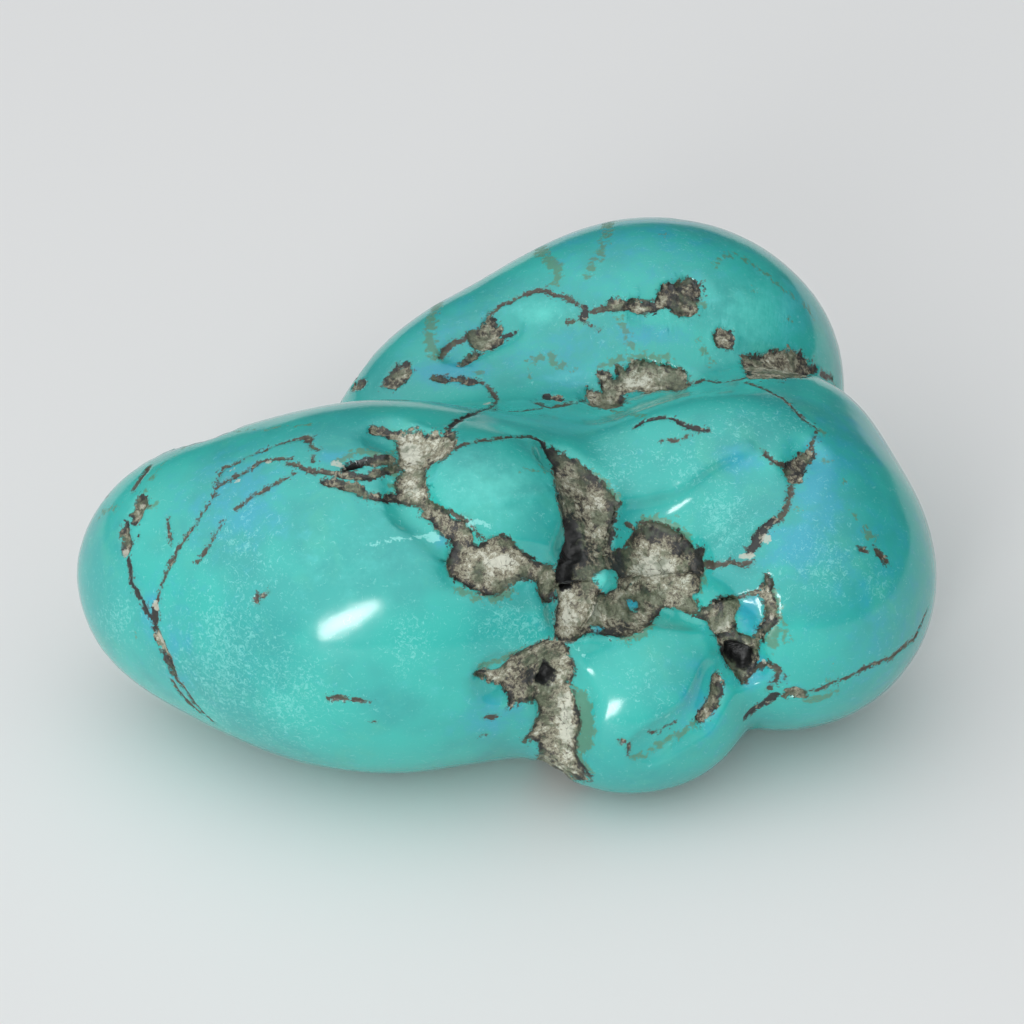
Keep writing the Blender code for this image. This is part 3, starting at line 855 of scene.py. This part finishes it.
def hidden_in_front(places):
    """Which places can't be seen from the front, where the front sheet's own marks lie."""
    landed = carried_onto_skin(picture_to_sheet(sheet_to_picture(places)), "front")
    return length(landed - places) > 1.0


def of_kinds(rows, *kinds):
    """The veins of some kinds only."""
    return Veins(rows[np.isin(rows[:, 4], [TONES[kind] for kind in kinds])])


FRONT_PATCHES = with_edges(ROCK_PATCHES)
BEHIND_PATCHES = other_patches()
front_rows, other_rows = front_veins(), other_veins()
other_rows = other_rows[hidden_in_front(other_rows[:, :3])]
FRONT_VEINS = of_kinds(front_rows, "black", "brown")
OTHER_VEINS = of_kinds(other_rows, "black", "brown")
ROCK_LINES = of_kinds(front_rows, "rock")  # bands of rock, which count as patches
STAINS = of_kinds(np.vstack([front_rows, other_rows]), "olive")  # only soaked in, with no groove
# Pale chips and pale streaks. Two of the streaks are painted highlights on the cobble and the bump.
CHIPS_AND_GLINTS = of_kinds(front_rows, "chip", "scratch")
CREST_LINES = crest_lines()
print(len(front_rows), "samples of lines in front,", len(other_rows), "elsewhere")

# %% [markdown]
# ## A fine skin where it matters
# One even mesh fine enough for the thinnest vein would have millions of faces. Instead a coarse
# ball is drawn in onto the form, and then only the edges near a mark are split, again and again.
# A triangle with one, two or three split edges is cut in two, three or four, so no cracks open.

# %% A coarse ball drawn in onto the form
HEART = np.array([5.0, -8.0, 11.0])  # the point inside that all the skin can be seen from
BALL = np.array([36.0, 36.0, 17.0])
GRID = 60


def drawn_onto_body(points):
    """Where lines from the heart through the points leave the body, found by halving."""
    ways = points - HEART
    high = length(ways)
    ways /= high[:, None]
    low = np.zeros(len(points))
    for _ in range(26):
        middle = (low + high) / 2.0
        outside = body_distance(HEART + ways * middle[:, None]) > 0.0
        high = np.where(outside, middle, high)
        low = np.where(outside, low, middle)
    return HEART + ways * low[:, None]


def settled(points, rounds):
    """Points near the skin moved onto it, straight down or up the slope of its distance."""
    nudge = 0.01
    for _ in range(rounds):
        distance = skin_distance(points)
        slope = np.stack(
            [(skin_distance(points + nudge * axis) - distance) / nudge for axis in np.eye(3)], axis=1
        )
        move = distance / np.maximum(np.einsum("ij,ij->i", slope, slope), 0.2)
        points = points - np.clip(move, -0.5, 0.5)[:, None] * slope
    return points


def coarse_skin():
    ball = bmesh.new()
    bmesh.ops.create_cube(ball, size=2.0)
    bmesh.ops.subdivide_edges(ball, edges=ball.edges[:], cuts=GRID - 1, use_grid_fill=True)
    bmesh.ops.triangulate(ball, faces=ball.faces[:])
    ball.verts.ensure_lookup_table()
    even = np.tan(np.array([vertex.co for vertex in ball.verts]) * np.pi / 4.0)
    points = HEART + even / length(even)[:, None] * BALL
    faces = np.array([[vertex.index for vertex in face.verts] for face in ball.faces])
    ball.free()
    return settled(drawn_onto_body(points), 8), faces


points, faces = coarse_skin()
print("coarse skin:", len(points), "points,", len(faces), "triangles")

# %% Split only the edges that are too long for where they are
FINEST = 0.155  # mm: edges on a front vein or patch
FINEST_BEHIND = 0.32
WIDEST = 0.8
GROWTH = 0.75  # mm of edge for each mm away from a mark
SPLIT_ROUNDS = 7


def wanted_edge(places):
    """How long an edge may be at each place."""
    front = np.minimum(FRONT_VEINS.nearest(places)[0], ROCK_LINES.nearest(places)[0])
    front = np.minimum(front, outlines_distance(places, FRONT_PATCHES))
    other = np.minimum(OTHER_VEINS.nearest(places)[0], other_patches_distance(places))
    front = np.minimum(front, CREST_LINES.nearest(places)[0] - 0.4)
    front_edge = FINEST + GROWTH * np.clip(front - 0.12, 0.0, None)
    other_edge = FINEST_BEHIND + GROWTH * np.clip(other - 0.2, 0.0, None)
    return np.minimum(np.minimum(front_edge, other_edge), WIDEST)


def split_once(points, faces, wanted):
    """Splits every edge longer than wanted at its middle, and cuts the triangles to match."""
    ends = np.stack([faces[:, [1, 2]], faces[:, [2, 0]], faces[:, [0, 1]]], axis=1)
    ordered = np.sort(ends.reshape(-1, 2), axis=1)
    edges, which = np.unique(ordered, axis=0, return_inverse=True)
    which = which.reshape(-1, 3)  # the edge across from each corner
    lengths = np.linalg.norm(points[edges[:, 0]] - points[edges[:, 1]], axis=1)
    limit = 1.35 * (wanted[edges[:, 0]] + wanted[edges[:, 1]]) / 2.0
    split = lengths > limit
    middle_of = np.full(len(edges), -1)
    middle_of[split] = len(points) + np.arange(split.sum())
    middles = points[edges[split]].mean(axis=1)
    cut = middle_of[which]
    count = (cut >= 0).sum(axis=1)
    parts = [faces[count == 0]]
    for turn in range(3):
        a, b, c = (faces[:, (turn + k) % 3] for k in range(3))
        ma, mb, mc = (cut[:, (turn + k) % 3] for k in range(3))
        one = (count == 1) & (ma >= 0)
        parts += [np.stack([a, b, ma], 1)[one], np.stack([a, ma, c], 1)[one]]
        two = (count == 2) & (ma < 0)
        parts += [np.stack([a, mc, mb], 1)[two], np.stack([mc, b, c], 1)[two],
                  np.stack([mc, c, mb], 1)[two]]
    three = count == 3
    a, b, c = faces[three].T
    ma, mb, mc = cut[three].T
    parts += [np.stack(trio, 1) for trio in ((a, mc, mb), (mc, b, ma), (mb, ma, c), (ma, mb, mc))]
    return middles, np.concatenate(parts)


wanted = wanted_edge(points)
for _ in range(SPLIT_ROUNDS):
    middles, faces = split_once(points, faces, wanted)
    if not len(middles):
        break
    middles = settled(middles, 3)
    points = np.vstack([points, middles])
    wanted = np.concatenate([wanted, wanted_edge(middles)])
print("fine skin:", len(points), "points,", len(faces), "triangles")

# %% [markdown]
# ## Relief
# Polishing wears the softer rock deeper than the turquoise. So each patch steps down a little
# inside a rounded lip, each vein is a fine groove, and the black pits are deep. The step is real
# geometry, because it is what catches the light along the edge of every cobble.

# %% Distances to every mark
NOISE_SHIFT = 17.3  # mm between the places that two layers of noise are read from
ROCK_SPREAD = 0.08  # mm that the rock reaches past its outlines


def noise_at(places, size, layer=0):
    """Smooth noise between -1 and 1 with lumps of about a size in mm."""
    shift = NOISE_SHIFT * layer
    return np.array([noise.noise(Vector(place)) for place in places / size + shift])


wobble = 0.11 * noise_at(points, 0.9) + 0.06 * noise_at(points, 0.38, 1)
behind = np.clip((points[:, 1] - 4.0) / 4.0, 0.0, 1.0)
crumbling = 0.45 * noise_at(points, 0.75, 7) * behind  # the patches on the lobe behind are more broken
swelling = noise_at(points, 1.5, 6)  # makes a vein thinner and thicker along its way
rock = np.minimum(outlines_distance(points, FRONT_PATCHES), ROCK_LINES.nearest(points)[0])
rock = np.maximum(rock, -outlines_distance(points, with_edges(ISLANDS)))
rock = np.minimum(rock, other_patches_distance(points) + 3.0 * wobble) + wobble - ROCK_SPREAD
rock += crumbling
pit = outlines_distance(points, with_edges(PITS)) + 1.6 * wobble
front_gap, front_tone = FRONT_VEINS.nearest(points)
other_gap, other_tone = OTHER_VEINS.nearest(points)
vein = np.minimum(front_gap, other_gap) + 0.3 * wobble + 0.09 * swelling
vein_tone = np.where(front_gap < other_gap, front_tone, other_tone)
stain = STAINS.nearest(points)[0] + 1.2 * wobble
chip, chip_tone = CHIPS_AND_GLINTS.nearest(points)
print("points in rock:", (rock < 0).sum(), "in veins:", (vein < 0).sum(), "in pits:", (pit < 0).sum())

# %% The skin pressed and raised along its normals
ROCK_STEP = 0.17  # mm that the rock lies below the turquoise
ROCK_GRAIN = 0.10  # mm between the rock's high and low grains
LIP = 0.045  # mm that the turquoise rises beside a patch
VEIN_GROOVE = 0.085
PIT_DEPTH = 0.85
CREST_HEIGHT = 0.16
CREST_HALF_WIDTH = 0.48


def normals_of(points, faces):
    """Each point's normal: the mean of its triangles' normals, the large ones counting more."""
    a, b, c = (points[faces[:, k]] for k in range(3))
    across = np.cross(b - a, c - a)
    total = np.zeros_like(points)
    for corner in range(3):
        np.add.at(total, faces[:, corner], across)
    return total / length(total)[:, None]


def ramp(values, start, end):
    """A soft step from 0 at start to 1 at end."""
    share = np.clip((values - start) / (end - start), 0.0, 1.0)
    return share * share * (3.0 - 2.0 * share)


in_rock = ramp(rock, 0.05, -0.16)
grain = noise_at(points, 0.55, 2) + 0.6 * noise_at(points, 0.27, 3)
height = 0.05 * noise_at(points, 4.5, 4) + 0.02 * noise_at(points, 1.9, 5)
height += LIP * np.exp(-(((rock - 0.22) / 0.2) ** 2))
height += CREST_HEIGHT * np.exp(-((CREST_LINES.nearest(points)[0] / CREST_HALF_WIDTH) ** 2))
height -= in_rock * (ROCK_STEP - ROCK_GRAIN * grain)
height -= VEIN_GROOVE * ramp(vein, 0.05, -0.1) * (1.0 - in_rock)
height -= PIT_DEPTH * ramp(pit, 0.05, -0.42)
height *= ramp(points[:, 2], 0.0, 0.5)  # the worn underside stays flat
skin = points + normals_of(points, faces) * height[:, None]
print("relief in mm:", round(height.min(), 2), "to", round(height.max(), 2))

# %% [markdown]
# ## Where the colour changes
# The turquoise isn't one colour. It is bluer in some places and flecked with pale crystals in
# others. Each such place is a soft spot on the front sheet, and the rest of the stone gets the
# same from noise in its material. The spots of painted shade are no colour of the stone: they
# darken the teal where it lies in shade, on the left tip, the top of the left lobe, the lobe
# behind, the right face and low by the floor.

# %% Soft spots of colour
# Each spot: its middle (right, down) and half sizes in picture points, and its strength.
BLUE_SPOTS = [
    (240, 500, 60, 55, 0.6), (450, 372, 45, 16, 0.9), (740, 462, 24, 16, 0.7), (820, 490, 30, 60, 0.8),
    (800, 545, 40, 30, 0.8), (755, 670, 26, 22, 0.7), (750, 615, 16, 22, 0.8), (602, 582, 18, 14, 0.3),
    (330, 457, 14, 7, 1.0), (645, 335, 50, 16, 0.6), (790, 310, 30, 35, 0.5), (570, 380, 30, 14, 0.7),
    (150, 610, 14, 30, 0.7), (632, 604, 12, 8, 0.8), (600, 629, 10, 6, 0.9), (180, 640, 20, 60, 0.4),
    (880, 600, 70, 120, 0.3), (850, 440, 60, 60, 0.35), (640, 240, 140, 50, 0.35), (450, 330, 60, 60, 0.3),
    (490, 715, 40, 30, 0.5), (700, 700, 30, 60, 0.4), (560, 350, 90, 30, 0.4), (440, 540, 10, 10, 0.6),
]
FLECKED_SPOTS = [
    (725, 517, 34, 34, 0.9), (615, 468, 36, 30, 0.6), (520, 625, 50, 32, 0.8), (225, 660, 50, 85, 0.9),
    (285, 700, 50, 55, 0.8), (410, 645, 28, 32, 0.8), (120, 612, 28, 32, 0.7), (875, 585, 20, 20, 0.6),
    (820, 560, 28, 45, 0.8), (690, 470, 60, 30, 0.5), (250, 560, 45, 60, 0.5), (640, 690, 45, 40, 0.4),
    (760, 420, 60, 30, 0.5), (700, 240, 60, 16, 0.3),
]
MILKY_SPOTS = [
    (490, 485, 65, 45, 0.8), (760, 312, 60, 45, 0.8), (602, 580, 14, 12, 1.0), (350, 560, 110, 60, 0.4),
    (540, 313, 34, 16, 0.9), (570, 378, 30, 10, 0.7), (430, 700, 90, 40, 0.3), (640, 660, 50, 30, 0.3),
]
# Painted shade: these spots darken the teal where the stone lies in shade. They are not a colour of its own.
PAINTED_SHADE_SPOTS = [
    (95, 590, 40, 100, 0.9), (380, 375, 50, 40, 0.9), (885, 610, 60, 110, 0.8), (640, 778, 100, 30, 0.9), (640, 235, 150, 40, 0.5),
    (430, 330, 50, 50, 0.6), (860, 690, 90, 40, 0.7), (310, 440, 110, 30, 0.4), (700, 440, 60, 30, 0.4),
    (640, 350, 60, 20, 0.5), (180, 520, 30, 50, 0.3),
]
CREAM_SPOTS = [
    (655, 565, 20, 14, 1.0), (500, 562, 22, 9, 1.0), (408, 450, 14, 14, 1.0), (565, 725, 9, 38, 0.8),
    (722, 627, 8, 6, 0.8), (567, 612, 9, 26, 0.7), (600, 500, 10, 12, 0.5), (412, 490, 9, 12, 0.6),
    (640, 380, 26, 8, 0.5), (596, 612, 12, 8, 0.6), (430, 440, 12, 6, 0.5), (665, 590, 14, 6, 0.4),
]
DARK_SPOTS = [
    (575, 545, 14, 30, 1.0), (622, 560, 9, 20, 0.9), (697, 560, 8, 24, 1.0), (610, 632, 16, 6, 0.8),
    (650, 532, 20, 8, 0.9), (684, 546, 14, 10, 0.9), (550, 455, 12, 12, 0.9), (612, 508, 7, 16, 0.7),
    (735, 655, 16, 18, 1.0), (520, 545, 20, 8, 0.5), (670, 533, 18, 7, 0.7), (600, 478, 20, 8, 0.5),
    (545, 605, 10, 14, 0.4), (716, 606, 10, 8, 0.4), (680, 298, 16, 13, 0.7), (528, 675, 10, 14, 0.5),
    (455, 555, 8, 24, 0.5), (478, 592, 26, 6, 0.4), (798, 470, 8, 10, 0.3),
]


def spots_at(places, spots):
    """How strongly the spots tint each place: 1 in the middle of a full one."""
    total = np.zeros(len(places))
    middles = carried_onto_skin(picture_to_sheet([spot[:2] for spot in spots]), "front")
    seen = sheet_to_picture(places)
    for middle, (x, y, half_x, half_y, strength) in zip(middles, spots):
        share = ((seen[:, 0] - x) / half_x) ** 2 + ((seen[:, 1] - y) / half_y) ** 2
        on_this_lobe = length(places - middle) < max(half_x, half_y) * POINT_SIZE * 2.0 + PATCH_DEPTH
        total = np.maximum(total, strength * np.exp(-1.2 * share) * on_this_lobe)
    return total


marks = {
    "rock": rock,
    "vein": vein,
    "vein_tone": vein_tone,
    "pit": pit,
    "stain": stain,
    "chip": chip,
    "chip_tone": chip_tone,
    "blue": spots_at(points, BLUE_SPOTS),
    "flecked": spots_at(points, FLECKED_SPOTS),
    "milky": spots_at(points, MILKY_SPOTS),
    "painted shade": spots_at(points, PAINTED_SHADE_SPOTS),
    # painted shade: the spots that darken the teal where the stone lies in shade
    "shade": spots_at(points, CREAM_SPOTS) - spots_at(points, DARK_SPOTS),
}
print("marks kept on the mesh:", ", ".join(marks))

# %% The stone's mesh
def stone_mesh():
    mesh = bpy.data.meshes.new("turquoise_stone")
    mesh.from_pydata(placed(skin).tolist(), [], faces.tolist())
    for name, values in marks.items():
        layer = mesh.attributes.new(name, "FLOAT", "POINT")
        layer.data.foreach_set("value", values.astype(np.float32))
    mesh.shade_smooth()
    stone = bpy.data.objects.new("turquoise_stone", mesh)
    bpy.context.collection.objects.link(stone)
    return stone


stone = stone_mesh()
print("stone:", len(stone.data.polygons), "triangles")

# %% [markdown]
# ## Node groups
# Three things make up the stone: turquoise, host rock and the filling of the veins. Each is a
# shader node group that puts out a colour, a roughness and a height. A fourth group turns a
# distance into a mask with a ragged edge, and it is what lays one over the other.

# %% Helpers for nodes
def place(tree, kind, inputs=None, **settings):
    """Adds a node. Each input is either a plain value or the socket that feeds it."""
    made = tree.nodes.new(kind)
    for name, value in settings.items():
        setattr(made, name, value)
    for key, value in (inputs or {}).items():
        if isinstance(value, bpy.types.NodeSocket):
            tree.links.new(value, made.inputs[key])
        else:
            made.inputs[key].default_value = value
    return made


def mixed(tree, factor, a, b):
    """The socket of a colour between two others."""
    return place(tree, "ShaderNodeMix", {0: factor, 6: a, 7: b}, data_type="RGBA").outputs[2]


def blended(tree, mask, low, high):
    """A number between two others."""
    return place(tree, "ShaderNodeMix", {0: mask, 2: low, 3: high}, data_type="FLOAT").outputs[0]


def maths(tree, operation, *values):
    """The socket of a sum, product or the like."""
    return place(tree, "ShaderNodeMath", dict(enumerate(values)), operation=operation).outputs[0]


def stepped(tree, value, start, end):
    """The socket of a soft step from 0 at start to 1 at end."""
    inputs = {"Value": value, "From Min": start, "From Max": end}
    return place(tree, "ShaderNodeMapRange", inputs, interpolation_type="SMOOTHSTEP").outputs["Result"]


def in_millimetres(tree):
    """The socket of a place on the stone, counted in millimetres."""
    where = place(tree, "ShaderNodeTexCoord").outputs["Object"]
    return place(tree, "ShaderNodeVectorMath", {0: where, "Scale": 1000.0}, operation="SCALE").outputs[0]


def noise_node(tree, where, per_mm, detail=3.0, roughness=0.55, distortion=0.0):
    inputs = {"Vector": where, "Scale": per_mm, "Detail": detail, "Roughness": roughness,
              "Distortion": distortion}
    return place(tree, "ShaderNodeTexNoise", inputs).outputs["Fac"]


def new_group(name, inputs, outputs):
    """An empty node group. Each socket is a name, a kind and, for an input, a value."""
    group = bpy.data.node_groups.new(name, "ShaderNodeTree")
    for label, kind, value in inputs:
        socket = group.interface.new_socket(label, in_out="INPUT", socket_type=kind)
        socket.default_value = value
    for label, kind in outputs:
        group.interface.new_socket(label, in_out="OUTPUT", socket_type=kind)
    given = group.nodes.new("NodeGroupInput")
    result = group.nodes.new("NodeGroupOutput")
    return group, given.outputs, result.inputs


FLOAT, COLOUR = "NodeSocketFloat", "NodeSocketColor"
SURFACE = [("Color", COLOUR), ("Roughness", FLOAT), ("Height", FLOAT)]
print("helpers ready")

# %% A mask with a ragged edge
def ragged_edge():
    """Turns a distance in mm into a mask that is 1 inside, with an edge frayed by noise."""
    group, given, result = new_group(
        "ragged_edge",
        [("Distance", FLOAT, 0.0), ("Raggedness", FLOAT, 0.1), ("Grains per mm", FLOAT, 4.0),
         ("Softness", FLOAT, 0.02)],
        [("Mask", FLOAT)],
    )
    fray = noise_node(group, in_millimetres(group), given["Grains per mm"], 3.0, 0.65)
    fray = maths(group, "MULTIPLY", maths(group, "SUBTRACT", fray, 0.5), given["Raggedness"])
    distance = maths(group, "ADD", given["Distance"], fray)
    outer = maths(group, "MULTIPLY", given["Softness"], -1.0)
    mask = stepped(group, maths(group, "MULTIPLY", distance, -1.0), outer, given["Softness"])
    group.links.new(mask, result["Mask"])
    return group


RAGGED_EDGE = ragged_edge()
print("group:", RAGGED_EDGE.name)

# %% Turquoise
TEAL = (0.036, 0.480, 0.418, 1.0)
# A darker teal, used for the stone's own dark clouds and for the painted shade.
DARK_TEAL_CLOUD_AND_SHADE = (0.030, 0.365, 0.345, 1.0)
SKY_BLUE = (0.034, 0.370, 0.475, 1.0)
MILKY_TEAL = (0.090, 0.615, 0.540, 1.0)
PALE_CYAN = (0.260, 0.740, 0.690, 1.0)
GREEN_TEAL = (0.062, 0.470, 0.370, 1.0)


def turquoise_group():
    group, given, result = new_group(
        "turquoise",
        [("Blue", FLOAT, 0.0), ("Flecked", FLOAT, 0.0), ("Milky", FLOAT, 0.0), ("Painted shade", FLOAT, 0.0)],
        SURFACE,
    )
    where = in_millimetres(group)
    clouds_and_shade = stepped(group, noise_node(group, where, 0.16, 3.0), 0.35, 0.68)
    # Painted shade: the spots of painted shade darken the teal just as the dark clouds do.
    clouds_and_shade = maths(group, "MAXIMUM", clouds_and_shade, given["Painted shade"])
    colour = mixed(group, clouds_and_shade, TEAL, DARK_TEAL_CLOUD_AND_SHADE)
    green = stepped(group, noise_node(group, where, 0.33, 4.0, 0.6, 0.4), 0.52, 0.75)
    colour = mixed(group, maths(group, "MULTIPLY", green, 0.55), colour, GREEN_TEAL)
    patchy = maths(group, "MULTIPLY", noise_node(group, where, 0.8, 4.0, 0.65), 1.1)
    blue = maths(group, "MULTIPLY_ADD", given["Blue"], 0.75, patchy)
    colour = mixed(group, stepped(group, blue, 0.60, 1.15), colour, SKY_BLUE)
    milky = maths(group, "MULTIPLY_ADD", given["Milky"], 0.9, patchy)
    colour = mixed(group, stepped(group, milky, 0.70, 1.60), colour, MILKY_TEAL)
    flecks = noise_node(group, where, 3.2, 4.0, 0.8, 1.0)
    drift = maths(group, "MULTIPLY", noise_node(group, where, 0.6, 3.0), 0.16)
    density = maths(group, "MULTIPLY_ADD", given["Flecked"], 0.15, drift)
    flecks = stepped(group, maths(group, "ADD", flecks, density), 0.65, 0.82)
    colour = mixed(group, maths(group, "MULTIPLY", flecks, 0.46), colour, PALE_CYAN)
    group.links.new(colour, result["Color"])
    haze = maths(group, "MULTIPLY", noise_node(group, where, 0.5, 2.0), 0.10)
    group.links.new(maths(group, "ADD", haze, 0.10), result["Roughness"])
    ripple = noise_node(group, where, 0.9, 2.0, 0.4)
    group.links.new(maths(group, "MULTIPLY", ripple, 0.010), result["Height"])
    return group


TURQUOISE = turquoise_group()
print("group:", TURQUOISE.name)

# %% Host rock
BLACK = (0.012, 0.013, 0.012, 1.0)
DARK_BROWN = (0.055, 0.045, 0.032, 1.0)
EARTH = (0.125, 0.104, 0.068, 1.0)
OLIVE = (0.095, 0.130, 0.070, 1.0)
MOSS_GREEN = (0.105, 0.175, 0.060, 1.0)
SAND = (0.330, 0.315, 0.225, 1.0)
CREAM = (0.640, 0.640, 0.530, 1.0)
CHIP_WHITE = (0.560, 0.550, 0.450, 1.0)


def host_rock_group():
    group, given, result = new_group("host_rock", [("Shade", FLOAT, 0.0), ("Depth", FLOAT, 0.5)], SURFACE)
    where = in_millimetres(group)
    clumps = noise_node(group, where, 1.0, 3.0, 0.6, 0.5)
    grains = noise_node(group, where, 3.2, 5.0, 0.8, 0.4)
    tone = maths(group, "MULTIPLY_ADD", clumps, 1.1, maths(group, "MULTIPLY_ADD", grains, 2.3, -0.36))
    tone = maths(group, "MULTIPLY_ADD", given["Shade"], 0.62, tone)
    patchy = stepped(group, noise_node(group, where, 0.9, 2.0), 0.40, 0.56)
    seam = maths(group, "MULTIPLY", stepped(group, given["Depth"], 0.50, 0.0), patchy)
    tone = maths(group, "MULTIPLY_ADD", seam, -0.45, tone)
    colour = mixed(group, stepped(group, tone, 1.05, 1.20), BLACK, EARTH)
    colour = mixed(group, stepped(group, tone, 1.22, 1.38), colour, SAND)
    colour = mixed(group, stepped(group, tone, 1.48, 1.70), colour, CREAM)
    moss = stepped(group, noise_node(group, where, 0.7, 3.0, 0.6), 0.48, 0.60)
    colour = mixed(group, maths(group, "MULTIPLY", moss, 0.62), colour, OLIVE)
    threads = place(group, "ShaderNodeTexVoronoi", {"Vector": where, "Scale": 1.7, "Randomness": 1.0},
                    feature="DISTANCE_TO_EDGE")
    threads = maths(group, "MULTIPLY_ADD", grains, 0.22, threads.outputs["Distance"])
    colour = mixed(group, stepped(group, threads, 0.15, 0.08), colour, DARK_BROWN)
    group.links.new(colour, result["Color"])
    group.links.new(blended(group, stepped(group, tone, 1.0, 1.4), 0.30, 0.62), result["Roughness"])
    bumps = maths(group, "ADD", grains, noise_node(group, where, 7.0, 3.0, 0.7))
    group.links.new(maths(group, "MULTIPLY", bumps, 0.045), result["Height"])
    return group


HOST_ROCK = host_rock_group()
print("group:", HOST_ROCK.name)

# %% Vein filling
def vein_group():
    group, given, result = new_group("vein_filling", [("Tone", FLOAT, 1.0)], SURFACE)
    where = in_millimetres(group)
    drift = maths(group, "MULTIPLY", noise_node(group, where, 1.8, 3.0), 0.9)
    tone = maths(group, "ADD", given["Tone"], drift)
    colour = mixed(group, stepped(group, tone, 0.4, 1.3), BLACK, DARK_BROWN)
    colour = mixed(group, stepped(group, tone, 1.40, 1.75), colour, OLIVE)
    chips = stepped(group, noise_node(group, where, 2.6, 2.0, 0.5), 0.62, 0.70)
    colour = mixed(group, maths(group, "MULTIPLY", chips, 0.7), colour, SAND)
    group.links.new(colour, result["Color"])
    group.links.new(maths(group, "MULTIPLY_ADD", chips, 0.1, 0.4), result["Roughness"])
    group.links.new(maths(group, "MULTIPLY", noise_node(group, where, 6.0), 0.02), result["Height"])
    return group


VEIN_FILLING = vein_group()
print("group:", VEIN_FILLING.name)

# %% [markdown]
# ## The stone's material
# The shader itself stays in the material. The groups feed its colour, roughness and normal, laid
# over each other by the marks kept on the mesh: turquoise first, then a stain beside the veins,
# the veins, the rock and at last the dark of the pits.

# %% The stone's material
MM_PER_METRE = 1000.0


def use(tree, group, inputs):
    made = tree.nodes.new("ShaderNodeGroup")
    made.node_tree = group
    for key, value in inputs.items():
        if isinstance(value, bpy.types.NodeSocket):
            tree.links.new(value, made.inputs[key])
        else:
            made.inputs[key].default_value = value
    return made.outputs


def mark(tree, name):
    return place(tree, "ShaderNodeAttribute", attribute_name=name).outputs["Fac"]


def edge_mask(tree, distance, raggedness, grains, softness):
    inputs = {"Distance": distance, "Raggedness": raggedness, "Grains per mm": grains, "Softness": softness}
    return use(tree, RAGGED_EDGE, inputs)["Mask"]


def stone_material():
    material = bpy.data.materials.new("polished_turquoise")
    material.use_nodes = True
    tree = material.node_tree
    shader = tree.nodes["Principled BSDF"]
    vein, rock, pit = mark(tree, "vein"), mark(tree, "rock"), mark(tree, "pit")
    # The spots come in as attributes. One of them is painted shade.
    spots = {name: mark(tree, name.lower()) for name in ("Blue", "Flecked", "Milky", "Painted shade")}
    turquoise = use(tree, TURQUOISE, spots)
    filling = use(tree, VEIN_FILLING, {"Tone": mark(tree, "vein_tone")})
    depth = maths(tree, "MULTIPLY", rock, -1.0)
    grit = use(tree, HOST_ROCK, {"Shade": mark(tree, "shade"), "Depth": depth})
    either = maths(tree, "MINIMUM", vein, rock)
    beside = edge_mask(tree, either, 0.9, 1.3, 0.25)
    speckled = edge_mask(tree, maths(tree, "ADD", either, 0.06), 2.2, 3.4, 0.05)
    in_stain = edge_mask(tree, mark(tree, "stain"), 1.9, 2.4, 0.12)
    in_vein = edge_mask(tree, vein, 0.80, 2.4, 0.03)
    in_rock = edge_mask(tree, rock, 1.30, 2.0, 0.03)
    in_pit = edge_mask(tree, pit, 0.9, 2.2, 0.08)
    # Pale chips are laid in cream. Pale streaks are laid in pale cyan: one is a scratch, and two are painted
    # highlights along the rims of the cobble and the bump.
    in_chip_and_glint = edge_mask(tree, mark(tree, "chip"), 0.50, 4.0, 0.05)
    chip_and_glint_colour = mixed(tree, stepped(tree, mark(tree, "chip_tone"), 4.3, 4.7), CHIP_WHITE, PALE_CYAN)
    colour = mixed(tree, maths(tree, "MULTIPLY", beside, 0.30), turquoise["Color"], OLIVE)
    colour = mixed(tree, maths(tree, "MULTIPLY", in_stain, 0.62), colour, MOSS_GREEN)
    colour = mixed(tree, maths(tree, "MULTIPLY", speckled, 0.75), colour, DARK_BROWN)
    colour = mixed(tree, in_vein, colour, filling["Color"])
    colour = mixed(tree, in_rock, colour, grit["Color"])
    colour = mixed(tree, in_pit, colour, BLACK)
    colour = mixed(tree, maths(tree, "MULTIPLY", in_chip_and_glint, 0.75), colour, chip_and_glint_colour)
    tree.links.new(colour, shader.inputs["Base Color"])
    rough = maths(tree, "MULTIPLY_ADD", beside, 0.22, turquoise["Roughness"])
    rough = maths(tree, "MULTIPLY_ADD", in_stain, 0.18, rough)
    rough = blended(tree, in_vein, rough, filling["Roughness"])
    rough = blended(tree, in_rock, rough, grit["Roughness"])
    tree.links.new(rough, shader.inputs["Roughness"])
    height = blended(tree, in_vein, turquoise["Height"], filling["Height"])
    height = blended(tree, in_rock, height, grit["Height"])
    bump = place(tree, "ShaderNodeBump", {"Height": height, "Distance": 1.0 / MM_PER_METRE, "Strength": 1.0})
    tree.links.new(bump.outputs["Normal"], shader.inputs["Normal"])
    shader.inputs["Metallic"].default_value = 0.0
    shader.inputs["IOR"].default_value = 1.61
    return material


stone.data.materials.append(stone_material())
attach(stone, "root")
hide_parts(NODE)
print("the stone rides on root and stands for", NODE)

# %% [markdown]
# ## The floor
# A plain pale sheet, wide enough to fill the view from every side.

# %% The floor
FLOOR_SIDE = 3.0
FLOOR_COLOUR = (0.83, 0.82, 0.81, 1.0)


def lay_floor():
    mesh = bpy.data.meshes.new("floor")
    half = FLOOR_SIDE / 2.0
    mesh.from_pydata([(-half, -half, 0), (half, -half, 0), (half, half, 0), (-half, half, 0)], [], [(0, 1, 2, 3)])
    floor = bpy.data.objects.new("floor", mesh)
    bpy.context.collection.objects.link(floor)
    material = bpy.data.materials.new("pale_floor")
    material.use_nodes = True
    shader = material.node_tree.nodes["Principled BSDF"]
    shader.inputs["Base Color"].default_value = FLOOR_COLOUR
    shader.inputs["Roughness"].default_value = 0.6
    mesh.materials.append(material)


lay_floor()
print("floor:", FLOOR_SIDE, "m square")
